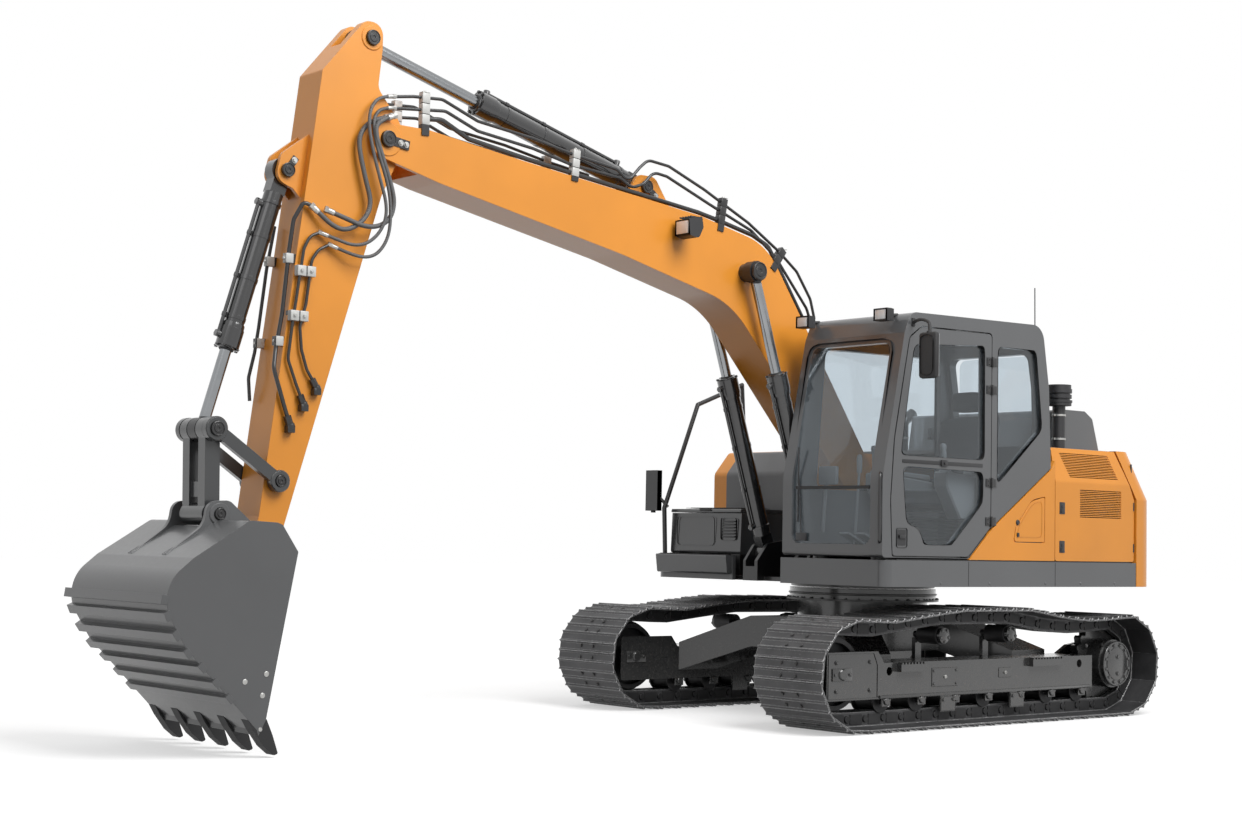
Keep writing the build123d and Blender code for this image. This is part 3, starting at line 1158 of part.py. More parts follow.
# Bucket: wrapper, two side plates, ears
WRAPPER_ROWS = [
    (5183, 1244, 0),
    (5350, 1252, 60),
    (5672, 1052, 60),
    (5880, 880, 205),
    (5700, 585, 205),
    (5272, 150, 0),
]
side_rows = [
    (5052, 1089, 0),
    (5152, 1232, 15),
] + WRAPPER_ROWS + [
    (5262, 120, 0),
    (5219, 201, 20),
]
bucket = side_prism(side_rows, -BUCKET_HALF_WIDTH, BUCKET_HALF_WIDTH)
cavity_rows = [
    (4900, 1075, 0),
    (5160, 1215, 0),
    (5345, 1232, 50),
    (5660, 1034, 50),
    (5862, 876, 190),
    (5690, 600, 190),
    (5262, 165, 0),
    (5228, 125, 0),
    (5100, 60, 0),
    (4900, 200, 0),
]
cavity_y = BUCKET_HALF_WIDTH - BUCKET_PLATE
EAR_Y_LOW = LINK_OUTER_Y + 10
POCKET_R = 90
saddle = bucket & cross_pin(BUCKET_LINK_PIN, POCKET_R + BUCKET_PLATE, -EAR_Y_LOW, EAR_Y_LOW)
bucket -= side_prism(cavity_rows, -cavity_y, cavity_y)
bucket += saddle
bucket -= cross_pin(BUCKET_LINK_PIN, POCKET_R, -EAR_Y_LOW, EAR_Y_LOW)
# Room in front of the pocket for the H-link when the bucket is curled in
relief_rows = [
    (BUCKET_LINK_PIN[0] + 8, BUCKET_LINK_PIN[1] - 56, 0),
    (BUCKET_PIN[0] - 15, BUCKET_LINK_PIN[1] - 125, 0),
    (BUCKET_PIN[0] - 15, BUCKET_LINK_PIN[1] + 60, 0),
    (BUCKET_LINK_PIN[0] + 8, BUCKET_LINK_PIN[1] + 60, 0),
]
bucket -= side_prism(relief_rows, -EAR_Y_LOW, EAR_Y_LOW)
EAR_Y = (H_OUTER_Y + 8, H_OUTER_Y + 8 + EAR_PLATE)
ear_rows = [
    (BUCKET_PIN[0] - 85, BUCKET_PIN[1] - 40, 60),
    (BUCKET_PIN[0] - 75, BUCKET_PIN[1] + 85, 70),
    (BUCKET_PIN[0] + 90, BUCKET_PIN[1] + 120, 60),
    (BUCKET_LINK_PIN[0] - 60, BUCKET_LINK_PIN[1] + 75, 60),
    (BUCKET_LINK_PIN[0] + 70, BUCKET_LINK_PIN[1] + 70, 66),
    (BUCKET_LINK_PIN[0] + 90, BUCKET_LINK_PIN[1] - 60, 120),
    (5660, 1056, 0),
    (5560, 1105, 0),
    (5345, 1235, 0),
    (5170, 1225, 0),
    (BUCKET_PIN[0] + 60, BUCKET_PIN[1] - 60, 60),
]
EAR_Y_HIGH = EAR_Y_LOW + EAR_PLATE
# Wear bars across the wrapper: place in side view and slope of the plate there, degrees
WEAR_BARS = [
    (5836, 838, 98),
    (5812, 752, 66),
    (5758, 652, 55),
    (5690, 560, 50),
    (5606, 485, 45),
    (5520, 401, 45),
    (5440, 320, 45),
]
WEAR_BAR_WIDTH = 50
WEAR_BAR_PLATE = 34
cavity = side_prism(cavity_rows, -BUCKET_HALF_WIDTH - 20, BUCKET_HALF_WIDTH + 20)
for x, z, slope in WEAR_BARS:
    reach_x = math.cos(math.radians(slope)) * WEAR_BAR_WIDTH / 2
    reach_z = math.sin(math.radians(slope)) * WEAR_BAR_WIDTH / 2
    bar_y = BUCKET_HALF_WIDTH + 10
    bar = side_bar((x - reach_x, z - reach_z), (x + reach_x, z + reach_z), -bar_y, bar_y, WEAR_BAR_PLATE)
    bucket += bar - cavity
bucket += both_sides(side_prism(ear_rows, EAR_Y_LOW, EAR_Y_HIGH))
bucket += cross_pin(BUCKET_PIN, 32, -EAR_Y_HIGH, EAR_Y_HIGH)
bucket += cross_pin(BUCKET_LINK_PIN, 32, -EAR_Y_HIGH - 12, EAR_Y_HIGH + 12)
nodes["bucket"] = bucket
arm_bore = cross_pin(BUCKET_PIN, 33, -ARM_HALF_WIDTH - 5, ARM_HALF_WIDTH + 5)
nodes["arm"] = nodes["arm"] - arm_bore

# Teeth on the lip
TOOTH_ROWS = [
    (5360, 262, 0),
    (5292, 148, 0),
    (5225, 60, 20),
    (5165, 12, 8),
    (5140, 20, 8),
    (5176, 120, 60),
    (5215, 205, 0),
    (5262, 178, 0),
]
teeth = []
for index in range(TOOTH_COUNT):
    y = (index - (TOOTH_COUNT - 1) / 2) * TOOTH_SPACING
    tooth = side_prism(TOOTH_ROWS, y - TOOTH_HALF_WIDTH, y + TOOTH_HALF_WIDTH)
    teeth.append(tooth - bucket)
nodes["bucket_teeth"] = Compound([solid for tooth in teeth for solid in tooth.solids()])

# Lamp on the boom's left side
lamp_rows = [
    (1936, 3312, 12),
    (2052, 3286, 12),
    (2040, 3178, 12),
    (1962, 3166, 30),
    (1924, 3240, 30),
]
boom_lamp = side_prism(lamp_rows, BOOM_HALF_WIDTH + 32, BOOM_HALF_WIDTH + 168)
boom_lamp += block(1966, 2016, BOOM_HALF_WIDTH, BOOM_HALF_WIDTH + 40, 3205, 3255)
nodes["boom_lamp"] = boom_lamp

# Steel pipes on the boom: points (x, z) in a plane of one y; each set is held by clamps
PIPE_R = 10
RETURN_PIPE_R = 15
PIPE_BEND = 90
UPPER_PIPE = [
    (4240, 3762), (4110, 3784), (3901, 3800), (3637, 3709), (3207, 3665), (2892, 3612), (2520, 3566),
    (2430, 3500), (2330, 3606), (2262, 3664), (2080, 3648), (1763, 3536), (1346, 3360), (1050, 3196),
    (872, 3074), (733, 2894), (690, 2760),
]
MIDDLE_PIPE = [
    (4238, 3694), (3877, 3733), (3635, 3648), (3210, 3603), (2904, 3545), (2490, 3512), (2395, 3462),
    (2300, 3500), (2210, 3590), (2095, 3578), (1704, 3440), (1317, 3310), (1075, 3148), (770, 2826), (732, 2745),
]
RETURN_PIPE = [
    (4028, 3664), (3900, 3677), (3699, 3590), (3253, 3531), (2505, 3450), (1811, 3376), (1600, 3340),
    (1300, 3280), (1150, 3220), (1000, 3020), (800, 2748),
]
BOOM_PIPE_Y = 148
# Clamps: foot in the boom and end past the highest pipe
BOOM_CLAMPS = [
    ((4030, 3560), (4030, 3816)),
    ((2884, 3440), (2870, 3640)),
    ((1620, 3270), (1585, 3494)),
    ((1120, 3060), (1015, 3208)),
]
CLAMP_WIDTH = 52
CLAMP_Y = (BOOM_PIPE_Y - 20, BOOM_PIPE_Y + 20)


def flat_pipe(rows, y, radius):
    """Pipe along side-view points in the plane of one y."""
    return pipe([(x, y, z) for x, z in rows], radius, PIPE_BEND)


left_pipes = flat_pipe(UPPER_PIPE, BOOM_PIPE_Y, PIPE_R)
left_pipes += flat_pipe(MIDDLE_PIPE, BOOM_PIPE_Y, PIPE_R)
left_pipes += flat_pipe(RETURN_PIPE, BOOM_PIPE_Y - 4, RETURN_PIPE_R)
right_pipes = flat_pipe(UPPER_PIPE[:7], BOOM_PIPE_Y, PIPE_R) + flat_pipe(MIDDLE_PIPE[:6], BOOM_PIPE_Y, PIPE_R)
for foot, end in BOOM_CLAMPS:
    left_pipes += side_bar(foot, end, *CLAMP_Y, CLAMP_WIDTH)
for foot, end in BOOM_CLAMPS[:2]:
    right_pipes += side_bar(foot, end, *CLAMP_Y, CLAMP_WIDTH)
nodes["boom_pipes"] = Compound([left_pipes - nodes["boom"], mirrored(right_pipes) - nodes["boom"]])

# Steel pipes on the arm: points (x, y, z)
FRONT_PIPE = [
    (4790, 156, 3046), (4838, 150, 3062), (4880, 116, 2960), (4896, 106, 2794), (4930, 106, 2417),
    (4966, 110, 2217), (4996, 146, 2107), (4931, 148, 1921), (4902, 148, 1844),
]
SIDE_PIPES = [
    [(4730, 152, 2899), (4790, 148, 2872), (4825, 146, 2795), (4851, 146, 2610), (4887, 146, 2346),
     (4907, 146, 2164), (4850, 146, 2027), (4822, 146, 1967)],
    [(4663, 152, 2837), (4732, 148, 2800), (4771, 146, 2738), (4801, 146, 2484), (4836, 146, 2351),
     (4821, 146, 2222), (4782, 146, 2111), (4747, 146, 2062)],
]
RIGHT_PIPE = [
    (4871, -106, 2945), (4915, -106, 2695), (4955, -106, 2353), (4976, -106, 2208), (5010, -106, 2062),
    (4998, -106, 1932),
]
# Clamps: x low, x high, y low, y high, z low, z high
ARM_CLAMPS = [
    (4752, 4868, ARM_HALF_WIDTH - 20, 162, 2642, 2698),
    (4792, 4904, ARM_HALF_WIDTH - 20, 162, 2384, 2440),
]
FRONT_CLAMPS = [
    (4820, 4920, 88, 122, 2712, 2764),
    (4880, 4978, 88, 122, 2238, 2290),
]
arm_left_pipes = [pipe(FRONT_PIPE, PIPE_R + 2, PIPE_BEND)]
front_right = pipe(RIGHT_PIPE, PIPE_R, PIPE_BEND)
for x_low, x_high, y_low, y_high, z_low, z_high in FRONT_CLAMPS:
    arm_left_pipes[0] += block(x_low, x_high, y_low, y_high, z_low, z_high)
    front_right += block(x_low, x_high, -y_high, -y_low, z_low, z_high)
side_set = pipe(SIDE_PIPES[0], PIPE_R - 1, PIPE_BEND) + pipe(SIDE_PIPES[1], PIPE_R - 1, PIPE_BEND)
for clamp in ARM_CLAMPS:
    side_set += block(*clamp)
arm_sets = [form - nodes["arm"] for form in (arm_left_pipes[0], front_right, side_set)]
nodes["arm_pipes"] = Compound([solid for form in arm_sets for solid in form.solids()])

# Hoses from the boom's pipes to the arm's: points (x, y, z) and radius
HOSES = [
    (14, [(4268, 150, 3640), (4393, 152, 3604), (4476, 160, 3522), (4494, 165, 3430), (4440, 172, 3230),
          (4406, 175, 3130), (4419, 180, 3050), (4490, 188, 2968), (4590, 194, 2922), (4668, 186, 2944),
          (4735, 172, 2998), (4782, 157, 3040)]),
    (14, [(4270, 186, 3636), (4366, 190, 3600), (4408, 196, 3532), (4350, 210, 3366), (4285, 215, 3200),
          (4268, 215, 3110), (4296, 215, 3020), (4372, 213, 2968), (4470, 208, 2958), (4588, 192, 2996),
          (4690, 162, 3032)]),
    (10, [(4250, 148, 3762), (4340, 152, 3748), (4412, 168, 3684), (4446, 190, 3580), (4432, 212, 3430),
          (4376, 232, 3225), (4340, 240, 3110), (4340, 240, 3010), (4384, 234, 2920), (4458, 224, 2856),
          (4545, 208, 2840), (4640, 178, 2872), (4722, 153, 2898)]),
    (10, [(4248, 148, 3694), (4325, 151, 3682), (4386, 168, 3634), (4410, 186, 3560), (4388, 204, 3420),
          (4322, 220, 3230), (4300, 225, 3110), (4304, 230, 2930), (4368, 225, 2816), (4445, 210, 2778),
          (4545, 188, 2792), (4655, 153, 2836)]),
]
HOSE_BEND = 150
hoses = []
for radius, points in HOSES:
    hoses.append(pipe(points, radius, HOSE_BEND))
    print("hose bends", [round(bend) for bend in bend_radii(points, HOSE_BEND)])
nodes["arm_hoses"] = Compound(hoses)

os.makedirs("parts", exist_ok=True)
for name, form in nodes.items():
    form.label = name
    export_step(form, os.path.join("parts", name + ".step"))
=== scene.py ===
"""Looks of the crawler excavator: finishes, track shoes, hoses, fittings, camera and studio.

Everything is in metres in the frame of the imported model: +X forward along the boom, +Y to the
operator's left, +Z up, origin on the ground under the slewing centre.
"""

import logging
import math
from dataclasses import dataclass
from enum import Enum
from typing import Optional, Sequence, Union

import bmesh
import bpy
from mathutils import Matrix, Vector


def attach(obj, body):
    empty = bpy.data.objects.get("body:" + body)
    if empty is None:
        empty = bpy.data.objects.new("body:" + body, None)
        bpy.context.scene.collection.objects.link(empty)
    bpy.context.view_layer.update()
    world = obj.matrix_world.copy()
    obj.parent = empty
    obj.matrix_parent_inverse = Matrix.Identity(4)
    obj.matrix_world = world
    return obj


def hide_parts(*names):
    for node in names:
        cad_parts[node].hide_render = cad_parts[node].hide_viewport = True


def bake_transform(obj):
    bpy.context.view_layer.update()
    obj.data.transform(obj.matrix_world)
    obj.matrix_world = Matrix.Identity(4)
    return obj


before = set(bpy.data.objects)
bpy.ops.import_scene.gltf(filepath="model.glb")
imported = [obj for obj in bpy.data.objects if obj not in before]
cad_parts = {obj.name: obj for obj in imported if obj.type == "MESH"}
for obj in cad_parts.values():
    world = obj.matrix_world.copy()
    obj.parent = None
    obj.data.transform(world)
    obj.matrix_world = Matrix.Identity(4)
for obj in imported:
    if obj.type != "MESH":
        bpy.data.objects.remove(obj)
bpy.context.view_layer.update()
LOG = logging.getLogger("excavator")
Point = Sequence[float]
Number = Union[int, float]


def feed(tree: bpy.types.NodeTree, slot: bpy.types.NodeSocket, value: object) -> None:
    """Link a wire to an input socket, or set the socket's own value."""
    if isinstance(value, Wire):
        tree.links.new(value.socket, slot)
    else:
        slot.default_value = value


class Wire:
    """A shader socket that takes part in arithmetic, each sum adding its Math node."""

    def __init__(self, tree: bpy.types.NodeTree, socket: bpy.types.NodeSocket) -> None:
        """Wrap one output socket of a node tree."""
        self.tree = tree
        self.socket = socket

    def math(self, operation: str, *values: Union["Wire", Number]) -> "Wire":
        """Feed values to a new Math node.

        Args:
            operation: The node's operation.
            *values: Numbers or wires, in the order of its sockets.

        Returns:
            The node's result.
        """
        node = self.tree.nodes.new("ShaderNodeMath")
        node.operation = operation
        for slot, value in zip(node.inputs, values):
            feed(self.tree, slot, value)
        return Wire(self.tree, node.outputs[0])

    def __add__(self, other: Union["Wire", Number]) -> "Wire":
        """Sum."""
        return self.math("ADD", self, other)

    __radd__ = __add__

    def __sub__(self, other: Union["Wire", Number]) -> "Wire":
        """Difference."""
        return self.math("SUBTRACT", self, other)

    def __rsub__(self, other: Number) -> "Wire":
        """Difference from a number."""
        return self.math("SUBTRACT", other, self)

    def __mul__(self, other: Union["Wire", Number]) -> "Wire":
        """Product."""
        return self.math("MULTIPLY", self, other)

    __rmul__ = __mul__

    def __pow__(self, other: Number) -> "Wire":
        """Power."""
        return self.math("POWER", self, other)

    def clamp(self) -> "Wire":
        """The value held between 0 and 1."""
        return self.math("MINIMUM", self.math("MAXIMUM", self, 0.0), 1.0)

    def step(self, low: float, high: float) -> "Wire":
        """A straight rise from 0 at low to 1 at high."""
        return ((self - low) * (1.0 / (high - low))).clamp()


class Shader:
    """The node tree of one finish, or of the sky."""

    def __init__(self, owner: Union[bpy.types.Material, bpy.types.World], output: str = "OutputMaterial") -> None:
        """Start an empty tree on its owner, with its output."""
        self.owner = owner
        self.owner.use_nodes = True
        self.tree = self.owner.node_tree
        self.tree.nodes.clear()
        self.output = self.node(output)

    def node(self, kind: str, settings: Optional[dict] = None, **sockets: object) -> bpy.types.Node:
        """Add one node.

        Args:
            kind: The node's type without its prefix.
            settings: The node's own settings.
            **sockets: Values or wires of its sockets: by name with spaces written as underscores,
                or by number as i0, i1 and so on.

        Returns:
            The node.
        """
        node = self.tree.nodes.new("ShaderNode" + kind)
        for key, value in (settings or {}).items():
            setattr(node, key, value)
        for key, value in sockets.items():
            numbered = key[0] == "i" and key[1:].isdigit()
            feed(self.tree, node.inputs[int(key[1:]) if numbered else key.replace("_", " ")], value)
        return node

    def wire(self, node: bpy.types.Node, output: Union[int, str] = 0) -> Wire:
        """One output of a node as a wire."""
        return Wire(self.tree, node.outputs[output])

    def place(self) -> Wire:
        """The point on the object in its own coordinates, which are the frame's."""
        return self.wire(self.node("TexCoord"), "Object")

    def noise(self, scale: float, detail: float = 4.0, roughness: float = 0.55) -> Wire:
        """Noise from 0 to 1.

        Args:
            scale: Waves per metre.
            detail: Octaves.
            roughness: Strength of the fine octaves.

        Returns:
            The noise value.
        """
        return self.wire(self.node("TexNoise", Vector=self.place(), Scale=scale, Detail=detail, Roughness=roughness))

    def waves(self, direction: str, scale: float) -> Wire:
        """Smooth bands from 0 to 1 across a direction."""
        return self.wire(self.node("TexWave", {"bands_direction": direction}, Vector=self.place(), Scale=scale), 1)

    def height(self) -> Wire:
        """Height above the ground in metres."""
        return self.wire(self.node("SeparateXYZ", Vector=self.place()), 2)

    def facing_up(self) -> Wire:
        """How far the surface faces upwards, from -1 to 1."""
        return self.wire(self.node("SeparateXYZ", Vector=self.wire(self.node("NewGeometry"), "Normal")), 2)

    def mix(self, factor: Union[Wire, float], first: object, second: object) -> Wire:
        """Mix two colours."""
        node = self.node("Mix", {"data_type": "RGBA"})
        feed(self.tree, node.inputs[0], factor)
        for slot, colour in ((node.inputs[6], first), (node.inputs[7], second)):
            feed(self.tree, slot, colour if isinstance(colour, Wire) else (*colour, 1.0))
        return self.wire(node, 2)

    def edges(self, radius: float) -> tuple[Wire, Wire]:
        """Rounded corners.

        Args:
            radius: Radius of the rounding in metres.

        Returns:
            The rounded normal, and a mask that is high on sharp edges.
        """
        bevel = self.node("Bevel", {"samples": 4}, Radius=radius)
        flat = self.wire(self.node("NewGeometry"), "Normal")
        dot = self.node("VectorMath", {"operation": "DOT_PRODUCT"}, i0=self.wire(bevel), i1=flat)
        return self.wire(bevel), 1.0 - self.wire(dot, "Value")

    def bump(self, height: Wire, distance: float, strength: float, normal: Optional[Wire] = None) -> Wire:
        """A bumped normal from a height value."""
        node = self.node("Bump", Height=height, Distance=distance, Strength=strength)
        if normal is not None:
            self.tree.links.new(normal.socket, node.inputs["Normal"])
        return self.wire(node)

    def close(self, node: bpy.types.Node) -> Union[bpy.types.Material, bpy.types.World]:
        """Link the last node to the output and return the tree's owner."""
        self.tree.links.new(node.outputs[0], self.output.inputs[0])
        return self.owner

    def principled(self, **sockets: object) -> bpy.types.Material:
        """Close the tree with a Principled surface and return the material."""
        return self.close(self.node("BsdfPrincipled", **sockets))


@dataclass(frozen=True)
class Finish:
    """One finish, built once and then shared."""

    name: str

    def material(self) -> bpy.types.Material:
        """The finish's material, made at its first use."""
        name = "dressed_" + self.name
        found = bpy.data.materials.get(name)
        return found if found is not None else self.build(Shader(bpy.data.materials.new(name)))

    def build(self, shader: Shader) -> bpy.types.Material:
        """Make the nodes."""
        raise NotImplementedError


@dataclass(frozen=True)
class Paint(Finish):
    """Sprayed paint with soft gloss, dust on upward faces and low places, and bright worn edges."""

    colour: Point = (0.8, 0.3, 0.03)
    roughness: float = 0.32
    coat: float = 0.35
    dust: float = 0.12
    wear: float = 0.25
    worn_colour: Point = (0.32, 0.31, 0.3)
    round_edge: float = 0.004
    dust_colour: Point = (0.33, 0.29, 0.24)

    def parted(self, shader: Shader, colour: Wire) -> Wire:
        """The coat's colour where a second colour may take over part of it."""
        return colour

    def build(self, shader: Shader) -> bpy.types.Material:
        """Make the nodes."""
        broad = shader.noise(1.3, 3.0)
        fine = shader.noise(38.0, 5.0, 0.6)
        speck = shader.noise(210.0, 3.0, 0.7)
        normal, edge = shader.edges(self.round_edge)
        shade = tuple(c * 0.9 for c in self.colour)
        colour = self.parted(shader, shader.mix(broad.step(0.35, 0.65), shade, self.colour))
        low = 1.0 - shader.height().step(0.15, 1.1)
        lying = shader.facing_up().step(0.3, 1.0)
        dusty = ((low * 0.75 + lying * 0.5) * fine.step(0.3, 0.75) * self.dust * 2.2).clamp()
        colour = shader.mix(dusty, colour, self.dust_colour)
        worn = (edge.step(0.05, 0.4) * speck.step(0.45, 0.62) * fine.step(0.45, 0.6) * self.wear * 3.0).clamp()
        colour = shader.mix(worn, colour, self.worn_colour)
        rough = (fine * 0.1 + broad * 0.05 + dusty * 0.45 + (self.roughness - 0.07)).clamp()
        peel = shader.bump(shader.noise(120.0, 2.0), 0.0003, 0.1, normal)
        return shader.principled(
            Base_Color=colour, Roughness=rough, Coat_Weight=self.coat, Coat_Roughness=0.12, Normal=peel)


@dataclass(frozen=True)
class PanelledPaint(Paint):
    """Paint of the tank: its front panel is a second colour inside an outer strip."""

    panel: Point = (0.104, 0.107, 0.111)
    front_x: float = 0.17
    strip_y: float = -1.1

    def parted(self, shader: Shader, colour: Wire) -> Wire:
        """The second colour in front of one plane and inside another."""
        spot = shader.node("SeparateXYZ", i0=shader.place())
        front = shader.wire(spot, 0).step(self.front_x, self.front_x + 0.003)
        inner = shader.wire(spot, 1).step(self.strip_y, self.strip_y + 0.003)
        return shader.mix(front * inner, colour, self.panel)


@dataclass(frozen=True)
class WornSteel(Finish):
    """Cast or rolled steel: dark scale, dirt in the hollows, bare bright edges; on the track shoes the wide bright
    edge band is also a painted highlight along each grouser.
    """

    colour: Point = (0.1, 0.1, 0.103)
    bright: Point = (0.75, 0.75, 0.75)
    dirt: Point = (0.06, 0.058, 0.055)
    roughness: float = 0.4
    edge_light: float = 1.0
    metallic: float = 0.5
    round_edge: float = 0.004

    def build(self, shader: Shader) -> bpy.types.Material:
        """Make the nodes."""
        broad = shader.noise(5.0, 4.0)
        fine = shader.noise(70.0, 6.0, 0.65)
        normal, edge = shader.edges(self.round_edge)
        colour = shader.mix(broad.step(0.3, 0.7), self.colour, tuple(c * 1.7 for c in self.colour))
        dirty = (fine.step(0.42, 0.75) * broad.step(0.35, 0.8)).clamp() * 0.55
        colour = shader.mix(dirty, colour, self.dirt)
        # Lighter band along sharp edges: worn bare steel, and on the track shoes also a painted highlight.
        bare = (edge.step(0.03, 0.3) * fine.step(0.3, 0.6) * self.edge_light).clamp()
        colour = shader.mix(bare, colour, self.bright)
        rough = (fine * 0.25 + dirty * 0.4 - bare * 0.2 + (self.roughness - 0.1)).clamp()
        metal = ((1.0 - dirty * 1.5) * self.metallic).clamp()
        dents = shader.bump(fine, 0.0015, 0.35, normal)
        return shader.principled(Base_Color=colour, Roughness=rough, Metallic=metal, Normal=dents)


@dataclass(frozen=True)
class Chrome(Finish):
    """Ground hard chrome, and black paint on the rod's eye.

    The eye is given by x, z and radius; without it all of the piece is bare.
    """

    colour: Point = (0.3, 0.31, 0.32)
    eye: Point = (0.0, -9.0, 0.0)
    eye_paint: Point = (0.022, 0.022, 0.024)

    def build(self, shader: Shader) -> bpy.types.Material:
        """Make the nodes."""
        smear = shader.noise(9.0, 4.0)
        grain = shader.noise(300.0, 2.0)
        colour = shader.mix(smear.step(0.3, 0.8), self.colour, tuple(c * 0.82 for c in self.colour))
        x, z, radius = self.eye
        spot = shader.node("SeparateXYZ", i0=shader.place())
        across, up = shader.wire(spot, 0) - x, shader.wire(spot, 2) - z
        bare = ((across * across + up * up) ** 0.5).step(radius, radius + 0.002)
        rough = (smear * 0.1 + grain * 0.04 + (1.0 - bare) * 0.2 + 0.1).clamp()
        return shader.principled(
            Base_Color=shader.mix(bare, self.eye_paint, colour), Roughness=rough, Metallic=bare,
            Normal=shader.bump(grain, 0.0002, 0.1))


@dataclass(frozen=True)
class Polymer(Finish):
    """Moulded plastic or rubber with a fine grain."""

    colour: Point = (0.02, 0.02, 0.022)
    roughness: float = 0.5
    grain: float = 500.0
    depth: float = 0.3
    dust: float = 0.15
    dust_colour: Point = (0.2, 0.19, 0.17)

    def build(self, shader: Shader) -> bpy.types.Material:
        """Make the nodes."""
        broad = shader.noise(6.0, 4.0)
        grain = shader.noise(self.grain, 2.0)
        dusty = (broad.step(0.4, 0.9) * shader.facing_up().step(-0.2, 1.0) * self.dust).clamp()
        colour = shader.mix(dusty, self.colour, self.dust_colour)
        rough = (broad * 0.15 + dusty + (self.roughness - 0.05)).clamp()
        return shader.principled(
            Base_Color=colour, Roughness=rough, Normal=shader.bump(grain, 0.0004, self.depth))


@dataclass(frozen=True)
class Hose(Finish):
    """Rubber hose with a spiral wrap that shows as fine diagonal ribs."""

    colour: Point = (0.07, 0.07, 0.072)
    rib_colour: Point = (0.2, 0.2, 0.2)
    pitch: float = 90.0

    def build(self, shader: Shader) -> bpy.types.Material:
        """Make the nodes."""
        rib = shader.waves("DIAGONAL", self.pitch)
        broad = shader.noise(12.0, 3.0)
        colour = shader.mix(rib.step(0.2, 0.9) * 0.6, self.colour, self.rib_colour)
        rough = (broad * 0.2 + 0.42).clamp()
        return shader.principled(Base_Color=colour, Roughness=rough, Normal=shader.bump(rib, 0.0012, 0.5))


@dataclass(frozen=True)
class Fabric(Finish):
    """Woven seat cover."""

    colour: Point = (0.035, 0.036, 0.04)
    weave: float = 700.0

    def build(self, shader: Shader) -> bpy.types.Material:
        """Make the nodes."""
        scale = self.weave / 6.3
        thread = (shader.waves("X", scale) * shader.waves("Z", scale)).clamp()
        colour = shader.mix(thread, self.colour, tuple(c * 2.4 for c in self.colour))
        rough = (thread * 0.1 + 0.8).clamp()
        return shader.principled(Base_Color=colour, Roughness=rough, Normal=shader.bump(thread, 0.0008, 0.4))


@dataclass(frozen=True)
class TintedGlass(Finish):
    """Clear, lightly tinted pane: straight through with a grey tint, and a sharp reflection."""

    tint: Point = (0.85, 0.88, 0.9)
    reflect: float = 0.1

    def build(self, shader: Shader) -> bpy.types.Material:
        """Make the nodes."""
        smear = shader.noise(4.0, 3.0)
        weight = shader.wire(shader.node("LayerWeight", Blend=self.reflect), 1)
        factor = (weight * 0.45 + smear * 0.01 + 0.012).clamp()
        through = shader.node("BsdfTransparent", Color=(*self.tint, 1.0))
        gloss = shader.node("BsdfGlossy", Color=(0.92, 0.95, 0.97, 1.0), Roughness=0.03)
        return shader.close(shader.node("MixShader", i0=factor, i1=shader.wire(through), i2=shader.wire(gloss)))


@dataclass(frozen=True)
class LampLens(Finish):
    """Ribbed lamp glass over a bright reflector."""

    colour: Point = (0.85, 0.87, 0.88)
    groove: Point = (0.55, 0.57, 0.6)
    pitch: float = 28.0

    def build(self, shader: Shader) -> bpy.types.Material:
        """Make the nodes."""
        rib = shader.waves("Y", self.pitch)
        colour = shader.mix(rib * 0.4, self.colour, self.groove)
        rough = (rib * 0.1 + 0.12).clamp()
        return shader.principled(
            Base_Color=colour, Roughness=rough, Coat_Weight=1.0, Normal=shader.bump(rib, 0.002, 0.5))


